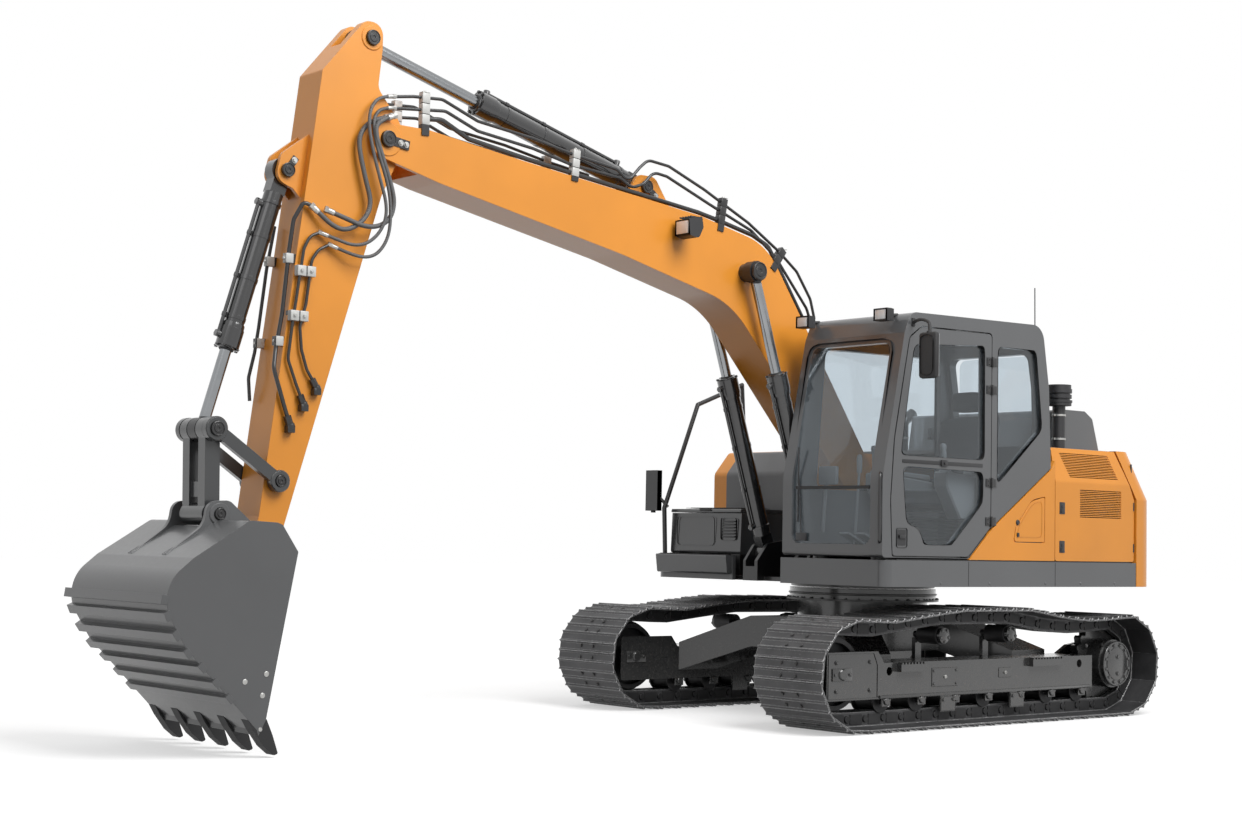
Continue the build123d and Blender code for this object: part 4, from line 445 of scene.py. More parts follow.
class Finishes:
    """The finishes of this machine, by what wears them."""

    orange = Paint("orange_paint", (0.83, 0.31, 0.03), 0.36, 0.12, 0.02, 0.06, (0.42, 0.2, 0.06))
    grey = Paint("charcoal_paint", (0.104, 0.107, 0.111), 0.3, 0.35, 0.03, 0.1, (0.2, 0.2, 0.2))
    black = Paint("black_paint", (0.012, 0.012, 0.013), 0.33, 0.3, 0.05, 0.15, (0.12, 0.12, 0.12))
    frame_paint = Paint("undercarriage_paint", (0.026, 0.027, 0.028), 0.24, 0.7, 0.04, 0.2)
    barrel = Paint("barrel_paint", (0.016, 0.016, 0.017), 0.22, 0.9, 0.02, 0.08)
    box_paint = Paint("toolbox_paint", (0.075, 0.077, 0.08), 0.24, 0.6, 0.02, 0.08)
    tank = PanelledPaint("tank_paint", (0.83, 0.31, 0.03), 0.36, 0.12, 0.02, 0.06, (0.42, 0.2, 0.06))
    bucket = Paint("bucket_paint", (0.1, 0.102, 0.105), 0.34, 0.3, 0.0, 0.2, (0.3, 0.3, 0.3))
    link = Paint("link_paint", (0.04, 0.042, 0.044), 0.3, 0.5, 0.05, 0.2)
    # Wide bright edge band of the track shoes: partly worn bare steel, partly a painted highlight along each grouser.
    shoe = WornSteel("shoe_steel", (0.055, 0.055, 0.057), round_edge=0.013)
    chain = WornSteel("chain_steel", (0.024, 0.024, 0.025), (0.24, 0.24, 0.24), (0.05, 0.047, 0.043), 0.5, 0.6)
    tooth = Paint("tooth_paint", (0.008, 0.008, 0.009), 0.6, 0.0, 0.0, 0.3, (0.15, 0.15, 0.15))
    casting = WornSteel("casting_iron", (0.035, 0.035, 0.035), (0.1, 0.1, 0.1), (0.06, 0.05, 0.045), 0.6, 0.3)
    boom_rod = Chrome("boom_rod_chrome", eye=(1.381, 3.011, 0.08))
    arm_rod = Chrome("arm_rod_chrome", eye=(4.395, 4.089, 0.082))
    bucket_rod = Chrome("bucket_rod_chrome", eye=(5.352, 1.75, 0.07))
    shoe_bolt = WornSteel("shoe_bolt_steel", (0.05, 0.05, 0.05), (0.3, 0.3, 0.3), (0.08, 0.075, 0.07), 0.5, 0.7)
    grip = Paint("tread_grip", (0.03, 0.03, 0.031), 0.6, 0.0, 0.15, 0.35, (0.25, 0.25, 0.25))
    zinc = WornSteel("zinc_plate", (0.32, 0.32, 0.31), (0.6, 0.6, 0.6), (0.25, 0.23, 0.2), 0.35, 0.6, 0.9, 0.001)
    white_clamp = Paint("white_clamp", (0.62, 0.62, 0.6), 0.4, 0.1, 0.05, 0.1)
    rubber = Polymer("black_rubber", (0.014, 0.014, 0.015), 0.62, 240.0, 0.2)
    plastic = Polymer("black_plastic", (0.022, 0.022, 0.024), 0.42, 620.0, 0.3)
    trim = Polymer("cab_trim", (0.2, 0.205, 0.21), 0.55, 420.0, 0.3)
    hose = Hose("hose_rubber")
    seat = Fabric("seat_fabric")
    glass = TintedGlass("tinted_glass")
    lens = LampLens("lamp_lens")
    mirror = Chrome("mirror_glass", (0.7, 0.72, 0.74))


NODE_FINISH = {node: finish for finish, nodes in (
    (Finishes.frame_paint, ("carbody", "track_frame_left", "track_frame_right", "sprockets")),
    (Finishes.shoe, ("track_left", "track_right")),
    (Finishes.chain, ("idlers_and_rollers",)),
    (Finishes.black, ("upper_frame", "handrails", "boom_pins", "arm_pins", "exhaust_pipe", "boom_pipes",
        "arm_pipes")),
    (Finishes.grey, ("side_skirts", "house_panels", "front_step", "cab_frame", "cab_door", "engine_hood")),
    (Finishes.orange, ("counterweight", "cab_fairing", "engine_door_left", "engine_door_right", "storage_door",
        "boom", "arm")),
    (Finishes.casting, ("engine_block",)),
    (Finishes.plastic, ("air_cleaner_stack", "cab_interior", "mirrors", "work_lamps", "antenna", "boom_lamp")),
    (Finishes.tank, ("fuel_tank",)),
    (Finishes.box_paint, ("toolbox", "toolbox_lid")),
    (Finishes.glass, ("cab_glass", "cab_door_glass")),
    (Finishes.barrel, ("boom_cylinder_barrels", "arm_cylinder_barrel", "bucket_cylinder_barrel")),
    (Finishes.boom_rod, ("boom_cylinder_rods",)),
    (Finishes.arm_rod, ("arm_cylinder_rod",)),
    (Finishes.bucket_rod, ("bucket_cylinder_rod",)),
    (Finishes.link, ("side_links", "h_link")),
    (Finishes.bucket, ("bucket",)),
    (Finishes.tooth, ("bucket_teeth",)),
    (Finishes.hose, ("arm_hoses",)),
) for node in nodes}


class Side(Enum):
    """Plane in which an outline is drawn, by the axis that its thickness runs along."""

    X = 0
    Y = 1
    Z = 2

    def point(self, first: float, second: float, depth: float) -> Vector:
        """The point at two drawing coordinates and a depth along the axis."""
        values = [first, second]
        values.insert(self.value, depth)
        return Vector(values)


def rectangle(low: Sequence[float], high: Sequence[float]) -> list[tuple[float, float]]:
    """Corners of a rectangle between two opposite ones."""
    (left, bottom), (right, top) = low, high
    return [(left, bottom), (right, bottom), (right, top), (left, top)]


def rounded(outline: Sequence[Point], radius: float) -> list[tuple[float, float]]:
    """An outline with its corners cut to three short chords."""
    rows = []
    count = len(outline)
    for index, corner in enumerate(outline):
        here = Vector(corner)
        before = Vector(outline[index - 1]) - here
        after = Vector(outline[(index + 1) % count]) - here
        cut = min(radius, before.length * 0.45, after.length * 0.45)
        first, last = here + before.normalized() * cut, here + after.normalized() * cut
        for share in (0.0, 0.3, 0.7, 1.0):
            straight = first.lerp(last, share)
            pull = 4 * share * (1 - share) * 0.5
            point = straight.lerp(here, pull)
            rows.append((point.x, point.y))
    return rows


class Form:
    """A piece under construction: parts made with bmesh operators, in the frame's metres."""

    def __init__(self) -> None:
        """Start empty."""
        self.shape = bmesh.new()

    def take(self, part: bmesh.types.BMesh, place: Optional[Matrix] = None) -> "Form":
        """Add a finished part and free it.

        Args:
            part: The part's own bmesh.
            place: Where it goes, or None where it is in place.

        Returns:
            The form itself.
        """
        if place is not None:
            bmesh.ops.transform(part, matrix=place, verts=part.verts)
        bmesh.ops.recalc_face_normals(part, faces=part.faces)
        mesh = bpy.data.meshes.new("part")
        part.to_mesh(mesh)
        part.free()
        self.shape.from_mesh(mesh)
        bpy.data.meshes.remove(mesh)
        return self

    @staticmethod
    def along(start: Point, axis: Point) -> Matrix:
        """The placement that brings the Z axis to a start point and a direction."""
        turn = Vector((0, 0, 1)).rotation_difference(Vector(axis)).to_matrix().to_4x4()
        return Matrix.Translation(start) @ turn

    @staticmethod
    def soften(part: bmesh.types.BMesh, radius: float, segments: int = 2) -> None:
        """Round every edge of a part by a radius."""
        if radius > 0:
            bmesh.ops.bevel(part, geom=part.edges[:], offset=radius, offset_type="OFFSET",
                            affect="EDGES", segments=segments, profile=0.5, material=-1)

    def box(self, low: Point, high: Point, rounding: float = 0.003, place: Optional[Matrix] = None) -> "Form":
        """Rounded block between two opposite corners, moved by a placement where one is given."""
        part = bmesh.new()
        bmesh.ops.create_cube(part, size=1.0)
        bmesh.ops.scale(part, vec=[abs(b - a) for a, b in zip(low, high)], verts=part.verts)
        bmesh.ops.translate(part, vec=[(a + b) / 2 for a, b in zip(low, high)], verts=part.verts)
        self.soften(part, rounding)
        return self.take(part, place)

    def row(self, low: Point, high: Point, step: Point, count: int, rounding: float = 0.0) -> "Form":
        """Equal blocks at equal steps."""
        for index in range(count):
            self.box(*([a + b * index for a, b in zip(corner, step)] for corner in (low, high)), rounding)
        return self

    def collar(self, start: Point, axis: Point, inner: float, outer: float, low: float, high: float,
               sides: int = 28) -> "Form":
        """Square-edged band round an axis, between two radii and two heights."""
        return self.turned(start, axis, rectangle((inner, low), (outer, high)), sides)

    def button(self, at: Point, axis: Point, inner: float, outer: float, top: float, shoulder: float,
               foot: float = 0.0, sides: int = 24) -> "Form":
        """Round cap: flat to the inner radius, chamfered to the outer one, and straight down to its foot."""
        return self.turned(at, axis, [(0.0, top), (inner, top), (outer, shoulder), (outer, foot)], sides)

    def dome(self, at: Point, axis: Point, sides: int) -> "Form":
        """Small round head of a flat bolt or a tread's stud."""
        return self.turned(at, axis, [(0.0, 0.004), (0.009, 0.003), (0.011, 0.0)], sides)

    def rod(self, start: Point, end: Point, radius: float, tip: Optional[float] = None, sides: int = 16,
            rounding: float = 0.0) -> "Form":
        """Round bar between two points, with another radius at its end where tip is given."""
        part = bmesh.new()
        run = Vector(end) - Vector(start)
        bmesh.ops.create_cone(part, cap_ends=True, segments=sides, radius1=radius,
                              radius2=radius if tip is None else tip, depth=run.length)
        bmesh.ops.translate(part, vec=(0, 0, run.length / 2), verts=part.verts)
        if rounding > 0:
            rims = [e for e in part.edges if abs(e.verts[0].co.z - e.verts[1].co.z) < 1e-6]
            bmesh.ops.bevel(part, geom=rims, offset=rounding, offset_type="OFFSET",
                            affect="EDGES", segments=2, profile=0.5, material=-1)
        return self.take(part, self.along(start, run))

    def turned(self, start: Point, axis: Point, profile: Sequence[Point], sides: int = 24) -> "Form":
        """Body of revolution.

        Args:
            start: The point at height 0 on the axis.
            axis: Direction of the axis.
            profile: Rows of radius and height; a closed ring if its first row is repeated last.
            sides: Steps round the axis.

        Returns:
            The form itself.
        """
        part = bmesh.new()
        verts = [part.verts.new((radius, 0, height)) for radius, height in profile]
        edges = [part.edges.new(pair) for pair in zip(verts, verts[1:])]
        bmesh.ops.spin(part, geom=verts + edges, cent=(0, 0, 0), axis=(0, 0, 1), dvec=(0, 0, 0),
                       angle=math.tau, steps=sides, use_merge=True, use_duplicate=False)
        bmesh.ops.remove_doubles(part, verts=part.verts, dist=1e-6)
        return self.take(part, self.along(start, axis))

    def plate(self, outline: Sequence[Point], low: float, high: float, side: Side = Side.Y,
              rounding: float = 0.0, rim: float = 0.0) -> "Form":
        """Flat piece of an outline.

        Args:
            outline: Corners in the side's plane.
            low: Where its thickness starts.
            high: Where its thickness ends.
            side: The axis of its thickness.
            rounding: Radius of its edges.
            rim: Width of the band that is kept round an open middle, or 0 for a full plate.

        Returns:
            The form itself.
        """
        part = bmesh.new()
        faces = [part.faces.new([part.verts.new(side.point(a, b, low)) for a, b in outline])]
        if rim > 0:
            band = bmesh.ops.inset_region(part, faces=faces, thickness=rim, use_boundary=True, use_even_offset=True)
            bmesh.ops.delete(part, geom=faces, context="FACES")
            faces = band["faces"]
        raised = bmesh.ops.extrude_face_region(part, geom=faces)["geom"]
        shift = side.point(0, 0, high - low)
        bmesh.ops.translate(part, vec=shift, verts=[v for v in raised if isinstance(v, bmesh.types.BMVert)])
        self.soften(part, rounding, 1)
        return self.take(part)

    def bolt(self, at: Point, axis: Point, radius: float = 0.011, height: float = 0.008) -> "Form":
        """Hexagon head on a washer."""
        start = Vector(at)
        out = Vector(axis).normalized()
        self.rod(start, start + out * height * 0.25, radius * 1.35, sides=10)
        return self.rod(start + out * height * 0.25, start + out * height, radius, radius * 0.93, sides=6)

    def bolt_ring(self, centre: Point, axis: Point, ring: float, count: int, radius: float = 0.011,
                  height: float = 0.008, start_deg: float = 0.0) -> "Form":
        """Bolts at equal steps round an axis."""
        place = self.along(centre, axis)
        for index in range(count):
            angle = math.radians(start_deg) + math.tau * index / count
            self.bolt(place @ Vector((ring * math.cos(angle), ring * math.sin(angle), 0)), axis, radius, height)
        return self

    def tube(self, points: Sequence[Point], radius: float, sides: int = 3) -> "Form":
        """Smooth round tube with the points as its route."""
        line = Route("tube", points)
        mesh = line.mesh(radius, sides)
        part = bmesh.new()
        part.from_mesh(mesh)
        bpy.data.meshes.remove(mesh)
        return self.take(part)

    def both_sides(self) -> "Form":
        """Add the mirror image across the machine's middle plane."""
        copy = bmesh.ops.duplicate(self.shape, geom=self.shape.verts[:] + self.shape.edges[:] + self.shape.faces[:])
        verts = [v for v in copy["geom"] if isinstance(v, bmesh.types.BMVert)]
        faces = [f for f in copy["geom"] if isinstance(f, bmesh.types.BMFace)]
        bmesh.ops.scale(self.shape, vec=(1, -1, 1), verts=verts)
        bmesh.ops.reverse_faces(self.shape, faces=faces)
        return self

    def piece(self, name: str, finish: Finish, body: str, crease_deg: float = 32.0) -> bpy.types.Object:
        """Close the form as a dressed object that rides on a body.

        Args:
            name: The piece's name.
            finish: What it is coated with.
            body: The body of the frame that carries it.
            crease_deg: Faces that meet at less than this are shaded as one.

        Returns:
            The object.
        """
        mesh = bpy.data.meshes.new(name)
        self.shape.to_mesh(mesh)
        self.shape.free()
        mesh.shade_smooth()
        mesh.set_sharp_from_angle(angle=math.radians(crease_deg))
        mesh.materials.append(finish.material())
        obj = bpy.data.objects.new(name, mesh)
        bpy.context.scene.collection.objects.link(obj)
        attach(obj, body)
        LOG.info("%s: %d faces on %s", name, len(mesh.polygons), body)
        return obj


class Route:
    """A smooth open line whose control points are the route's points."""

    def __init__(self, name: str, points: Sequence[Point]) -> None:
        """Lay a NURBS spline of order 3 through its ends."""
        self.data = bpy.data.curves.new(name, "CURVE")
        self.data.dimensions = "3D"
        self.data.resolution_u = 8
        spline = self.data.splines.new("NURBS")
        spline.points.add(len(points) - 1)
        for slot, place in zip(spline.points, points):
            slot.co = (*place, 1.0)
        spline.order_u = 3
        spline.use_endpoint_u = True

    def mesh(self, radius: float = 0.0, sides: int = 3) -> bpy.types.Mesh:
        """The line as a mesh: bare points, or a capped tube where a radius is given."""
        self.data.bevel_depth = radius
        self.data.bevel_resolution = sides
        self.data.use_fill_caps = radius > 0
        carrier = bpy.data.objects.new("route", self.data)
        bpy.context.scene.collection.objects.link(carrier)
        bpy.context.view_layer.update()
        mesh = bpy.data.meshes.new_from_object(carrier)
        bpy.data.objects.remove(carrier)
        return mesh

    def line(self) -> list[Vector]:
        """The points that the smooth line runs through."""
        mesh = self.mesh()
        points = [v.co.copy() for v in mesh.vertices]
        bpy.data.meshes.remove(mesh)
        return points


@dataclass
class TrackChain:
    """Shoe bolts and link bosses along both tracks; the shoes themselves come with the frame."""

    gauge: float = 1.99
    tumbler_x: float = 1.42
    circle_r: float = 0.291
    pitch: float = 0.171
    bottom_z: float = 0.074
    shoe_out: float = 0.058
    rail_y: float = 0.085
    bolt_shares: Sequence[float] = (0.27, 0.73)
    bolt_y: float = 0.065
    top_run: Sequence[Point] = (
        (1.1, -0.016), (0.64, 0.034), (0.398, 0.055), (-0.308, 0.051), (-0.64, 0.0), (-0.9, -0.026), (-1.24, -0.02))
    arc_steps: int = 24

    def path(self) -> list[Vector]:
        """Closed side-view path of the link pins, from the idler's top backwards."""
        axle = self.bottom_z + self.circle_r
        points = [Vector((self.tumbler_x, 0, axle + self.circle_r))]
        points += [Vector((x, 0, axle + self.circle_r + rise)) for x, rise in self.top_run]
        for centre, begin, steps in (
                (-self.tumbler_x, 90, self.arc_steps + 1), (self.tumbler_x, -90, self.arc_steps)):
            for step in range(steps):
                angle = math.radians(begin + 180 * step / self.arc_steps)
                points.append(Vector((centre + self.circle_r * math.cos(angle), 0,
                                      axle + self.circle_r * math.sin(angle))))
        return points

    def pins(self) -> list[Vector]:
        """Pins at equal steps along the path."""
        path = self.path()
        spans = list(zip(path, path[1:] + path[:1]))
        total = sum((b - a).length for a, b in spans)
        count = round(total / self.pitch)
        found = []
        walked = 0.0
        for a, b in spans:
            length = (b - a).length
            while len(found) < count and total * len(found) / count < walked + length:
                found.append(a.lerp(b, (total * len(found) / count - walked) / length))
            walked += length
        return found

    def build(self) -> None:
        """Dress both tracks."""
        bolts, links = Form(), Form()
        pins = self.pins()
        for pin, following in zip(pins, pins[1:] + pins[:1]):
            ahead = (following - pin).normalized()
            out = Vector((ahead.z, 0, -ahead.x))
            length = (following - pin).length
            middle = self.gauge / 2
            for share in self.bolt_shares:
                for y in (middle - self.bolt_y, middle + self.bolt_y):
                    foot = pin + ahead * length * share + out * self.shoe_out + Vector((0, y, 0))
                    bolts.rod(foot, foot + out * 0.008, 0.0125, 0.0115, sides=6)
            for side in (-1, 1):
                face = Vector((0, middle + side * self.rail_y, 0))
                links.rod(pin + face, pin + face + Vector((0, side * 0.011, 0)), 0.025, 0.022, sides=12)
                place = Matrix(((ahead.x, 0, out.x, 0), (0, 1, 0, 0), (ahead.z, 0, out.z, 0), (0, 0, 0, 1)))
                place.translation = pin + face
                links.box((0.03, 0, -0.03), (length - 0.03, side * 0.006, 0.034), 0.0, place)
        bolts.both_sides().piece("shoe_bolts", Finishes.shoe_bolt, "undercarriage")
        links.both_sides().piece("track_links", Finishes.chain, "undercarriage")


@dataclass
class Undercarriage:
    """Bolts, caps and covers on the track frames, tumblers, rollers and slewing ring."""

    outer_y: float = 1.14
    inner_y: float = 0.85
    tumbler_x: float = 1.42
    axle_z: float = 0.365
    roller_z: float = 0.182
    roller_x: Sequence[float] = (1.0, 0.6567, 0.3133, -0.03, -0.3733, -0.7167, -1.06)
    carrier_x: Sequence[float] = (0.398, -0.308)
    carrier_z: float = 0.592
    hub_y: float = 1.18

    def hubs(self) -> None:
        """Final drive covers with their bolt circle and plugs."""
        hub = Form()
        centre = (-self.tumbler_x, self.hub_y, self.axle_z)
        out = (0, 1, 0)
        hub.turned(centre, out, [(0.118, -0.001), (0.118, 0.004), (0.112, 0.006), (0.0, 0.0062)], 48)
        hub.turned(centre, out, [(0.158, -0.002), (0.163, 0.002), (0.158, 0.006), (0.15, 0.006), (0.148, -0.001)], 48)
        hub.bolt_ring(centre, out, 0.134, 12, 0.011, 0.01, 15)
        for dz in (0.05, -0.07):
            hub.bolt((-self.tumbler_x, self.hub_y + 0.006, self.axle_z + dz), out, 0.013, 0.01)
        hub.both_sides().piece("hub_covers", Finishes.frame_paint, "undercarriage")

    def idlers(self) -> None:
        """Idler hub caps."""
        caps = Form()
        for y, out in ((self.outer_y - 0.002, 1), (self.inner_y + 0.002, -1)):
            caps.button((self.tumbler_x, y, self.axle_z), (0, out, 0), 0.03, 0.036, 0.022, 0.016)
            caps.box((self.tumbler_x - 0.09, y, self.axle_z - 0.04),
                     (self.tumbler_x + 0.09, y + out * 0.01, self.axle_z + 0.04))
            for dx in (-0.068, 0.068):
                caps.bolt((self.tumbler_x + dx, y + out * 0.01, self.axle_z), (0, out, 0), 0.011)
        caps.both_sides().piece("idler_caps", Finishes.frame_paint, "undercarriage")

    def rollers(self) -> None:
        """Roller shaft caps under the frame and carrier caps above it."""
        caps = Form()
        for x in self.roller_x:
            for y, out in ((self.outer_y, 1), (self.inner_y, -1)):
                caps.button((x, y, self.roller_z), (0, out, 0), 0.02, 0.024, 0.011, 0.008, sides=16)
                for dx in (-0.028, 0.028):
                    caps.bolt((x + dx, y, self.roller_z + 0.01), (0, out, 0), 0.008, 0.008)
        caps.both_sides().piece("roller_caps", Finishes.frame_paint, "undercarriage")
        stars = Form()
        for x in self.carrier_x:
            centre = (x, 1.104, self.carrier_z)
            stars.turned(centre, (0, 1, 0),
                         [(0.0, 0.012), (0.03, 0.012), (0.04, 0.006), (0.052, 0.004), (0.052, -0.02)], 28)
            stars.bolt_ring((x, 1.108, self.carrier_z), (0, 1, 0), 0.04, 5, 0.011, 0.011, 18)
        stars.both_sides().piece("carrier_caps", Finishes.frame_paint, "undercarriage")

    def frame_plates(self) -> None:
        """Cover plates, seams and bolts on the outer side of each frame."""
        plates = Form()
        y = self.outer_y
        plates.plate([(1.09, 0.212), (1.545, 0.212), (1.545, 0.494), (1.125, 0.494), (1.09, 0.42)], y, y + 0.004,
                     rim=0.014)
        plates.plate(rectangle((0.30, 0.262), (0.56, 0.385)), y, y + 0.005, rounding=0.002)
        for x in (0.318, 0.542):
            for z in (0.28, 0.367):
                plates.bolt((x, y + 0.005, z), (0, 1, 0), 0.009, 0.007)
        plates.plate(rectangle((-0.26, 0.302), (-0.13, 0.37)), y, y + 0.004, rounding=0.002)
        plates.box((-1.15, y - 0.002, 0.203), (1.07, y + 0.012, 0.222), 0.003)
        for x in (0.395, -0.33):
            plates.plate(rectangle((x - 0.07, 0.1), (x + 0.07, 0.195)), y, y + 0.004, rounding=0.0015)
            for dx in (-0.05, 0.05):
                plates.bolt((x + dx, y + 0.004, 0.175), (0, 1, 0), 0.012, 0.01)
        for x in (1.16, 1.47):
            for z in (0.26, 0.44):
                plates.bolt((x, y + 0.002, z), (0, 1, 0), 0.011, 0.009)
        for x in (-1.11, -1.3):
            plates.bolt((x, y + 0.001, 0.5), (0, 1, 0), 0.01, 0.008)
        plates.both_sides().piece("frame_plates", Finishes.frame_paint, "undercarriage")
        grease = Form()
        for x, z in ((0.43, 0.325), (-0.195, 0.336)):
            grease.turned((x, y + 0.004, z), (0, 1, 0),
                          [(0.0, 0.016), (0.004, 0.016), (0.006, 0.01), (0.012, 0.008), (0.012, 0)], 12)
        grease.both_sides().piece("grease_fittings", Finishes.zinc, "undercarriage")

    def slewing_ring(self) -> None:
        """Seal lips and the bolt circle of the slewing ring."""
        ring = Form()
        ring.turned((0, 0, 0.83), (0, 0, 1), [(0.525, 0.0), (0.533, 0.004), (0.533, 0.012), (0.525, 0.016)], 72)
        ring.turned((0, 0, 0.79), (0, 0, 1), [(0.47, -0.001), (0.545, -0.001), (0.545, 0.012), (0.524, 0.013)], 72)
        ring.bolt_ring((0, 0, 0.803), (0, 0, 1), 0.5365, 36, 0.008, 0.01)
        ring.piece("slewing_ring_seals", Finishes.black, "undercarriage")

    def build(self) -> None:
        """Build every group."""
        self.hubs()
        self.idlers()
        self.rollers()
        self.frame_plates()
        self.slewing_ring()


@dataclass
class BoomPipes:
    """Clamp blocks, bolts and end fittings of the steel pipes on the boom and the arm."""

    plane_y: float = 0.148
    # Foot x and z, then end x and z, of each clamp on the boom.
    boom_clamps: Sequence[Point] = (
        (4.03, 3.624, 4.03, 3.818), (2.882, 3.47, 2.87, 3.642), (1.616, 3.318, 1.584, 3.496),
        (1.102, 3.115, 1.013, 3.21))
    clamp_width: float = 0.056

    def clamp(self, form: Form, row: Point, y_low: float, y_high: float) -> None:
        """One split block over a boom clamp, from its foot to its end."""
        start = Vector((row[0], 0, row[1]))
        run = Vector((row[2] - row[0], 0, row[3] - row[1]))
        up = run.normalized()
        side = Vector((up.z, 0, -up.x))
        place = Matrix(((side.x, 0, up.x, 0), (0, 1, 0, 0), (side.z, 0, up.z, 0), (0, 0, 0, 1)))
        place.translation = start
        half = self.clamp_width / 2
        count = max(2, round(run.length / 0.065))
        step = run.length / count
        for index in range(count):
            form.box((-half, y_low, index * step + 0.001), (half, y_high, (index + 1) * step - 0.001), 0.004, place)

    def build(self) -> None:
        """Build the clamps, their straps and the fittings."""
        clamps, bands, bolts = Form(), Form(), Form()
        for index, row in enumerate(self.boom_clamps):
            self.clamp(clamps if index < 2 else bands, row, self.plane_y - 0.022, self.plane_y + 0.022)
            x, z = row[2:]
            bolts.box((x - 0.026, self.plane_y - 0.02, z), (x + 0.026, self.plane_y + 0.02, z + 0.004), 0.001)
            bolts.bolt((x, self.plane_y, z + 0.004), (0, 0, 1), 0.009, 0.009)
        for row in self.boom_clamps[:2]:
            self.clamp(clamps, row, -self.plane_y - 0.022, -self.plane_y + 0.022)
        clamps.piece("boom_clamps", Finishes.white_clamp, "boom")
        bands.piece("boom_rear_clamps", Finishes.black, "boom")
        bolts.piece("boom_clamp_bolts", Finishes.zinc, "boom")
        arm, arm_bolts = Form(), Form()
        for x, z, width in ((4.81, 2.67, 0.12), (4.848, 2.412, 0.116)):
            for low, high in ((-0.5, -0.02), (0.02, 0.5)):
                arm.box((x + width * low, 0.124, z - 0.03), (x + width * high, 0.164, z + 0.03), 0.004)
                arm_bolts.bolt((x + width * (low + high) / 2, 0.164, z), (0, 1, 0), 0.009, 0.009)
        for side in (-1, 1):
            for x, z in ((4.895, 2.738), (4.943, 2.264)):
                arm.box((x - 0.02, side * 0.086, z - 0.028), (x + 0.03, side * 0.124, z + 0.028), 0.004)
                arm_bolts.bolt((x + 0.03, side * 0.105, z), (1, 0, 0), 0.009, 0.009)
        arm.piece("arm_clamps", Finishes.white_clamp, "arm")
        arm_bolts.piece("arm_clamp_bolts", Finishes.zinc, "arm")
        ends = Form()
        for start, end, radius in (
                ((4.902, 0.148, 1.844), (4.885, 0.148, 1.8), 0.022),
                ((4.822, 0.146, 1.967), (4.802, 0.146, 1.925), 0.02),
                ((4.747, 0.146, 2.062), (4.722, 0.146, 2.022), 0.02)):
            begin, finish = Vector(start), Vector(end)
            ends.rod(begin, finish, radius, sides=6)
            ends.rod(finish, finish + (finish - begin) * 0.6, radius * 1.25, sides=16, rounding=0.003)
            ends.box((finish.x - 0.028, 0.125, finish.z - 0.05), (finish.x + 0.02, 0.168, finish.z - 0.012), 0.004)
        ends.piece("arm_pipe_ends", Finishes.black, "arm")


@dataclass
class ArmHoses:
    """Four hydraulic hoses from the boom's pipes over the joint to the arm's."""

    routes: Sequence[tuple] = (
        ("hose_a", 0.014, (
            (4.268, 0.150, 3.640), (4.393, 0.152, 3.604), (4.476, 0.160, 3.522), (4.494, 0.165, 3.430),
            (4.440, 0.172, 3.230), (4.406, 0.175, 3.130), (4.419, 0.180, 3.050), (4.490, 0.188, 2.968),
            (4.590, 0.194, 2.922), (4.668, 0.186, 2.944), (4.735, 0.172, 2.998), (4.782, 0.157, 3.040))),
        ("hose_b", 0.014, (
            (4.270, 0.186, 3.636), (4.366, 0.190, 3.600), (4.408, 0.196, 3.532), (4.350, 0.210, 3.366),
            (4.285, 0.215, 3.200), (4.268, 0.215, 3.110), (4.296, 0.215, 3.020), (4.372, 0.213, 2.968),
            (4.470, 0.208, 2.958), (4.588, 0.192, 2.996), (4.690, 0.162, 3.032))),
        ("hose_c", 0.010, (
            (4.250, 0.148, 3.762), (4.340, 0.152, 3.748), (4.412, 0.168, 3.684), (4.446, 0.190, 3.580),
            (4.432, 0.212, 3.430), (4.376, 0.232, 3.225), (4.340, 0.240, 3.110), (4.340, 0.240, 3.010),
            (4.384, 0.234, 2.920), (4.458, 0.224, 2.856), (4.545, 0.208, 2.840), (4.640, 0.178, 2.872),
            (4.722, 0.153, 2.898))),
        ("hose_d", 0.010, (
            (4.248, 0.148, 3.694), (4.325, 0.151, 3.682), (4.386, 0.168, 3.634), (4.410, 0.186, 3.560),
            (4.388, 0.204, 3.420), (4.322, 0.220, 3.230), (4.300, 0.225, 3.110), (4.304, 0.230, 2.930),
            (4.368, 0.225, 2.816), (4.445, 0.210, 2.778), (4.545, 0.188, 2.792), (4.655, 0.153, 2.836))),
    )
    bend_start: Point = (4.36, 0.16, 3.70)
    bend_end: Point = (4.60, 0.18, 2.90)

    def build(self) -> None:
        """Build each hose with its end sleeves."""
        sleeves_boom, sleeves_arm = Form(), Form()
        for name, radius, points in self.routes:
            route = Route(name, points)
            line = route.line()
            mesh = route.mesh(radius, 4)
            mesh.shade_smooth()
            mesh.materials.append(Finishes.hose.material())
            hose = bpy.data.objects.new(name, mesh)
            bpy.context.scene.collection.objects.link(hose)
            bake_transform(hose)
            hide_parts("arm_hoses")
            for form, end, inner in ((sleeves_boom, line[0], line[1]), (sleeves_arm, line[-1], line[-2])):
                back = (end - inner).normalized()
                form.rod(end - back * 0.045, end - back * 0.002, radius * 1.28, sides=20, rounding=0.002)
                form.rod(end - back * 0.004, end + back * 0.016, radius * 1.5, sides=6)
        sleeves_boom.piece("hose_sleeves_boom", Finishes.zinc, "boom")
        sleeves_arm.piece("hose_sleeves_arm", Finishes.zinc, "arm")


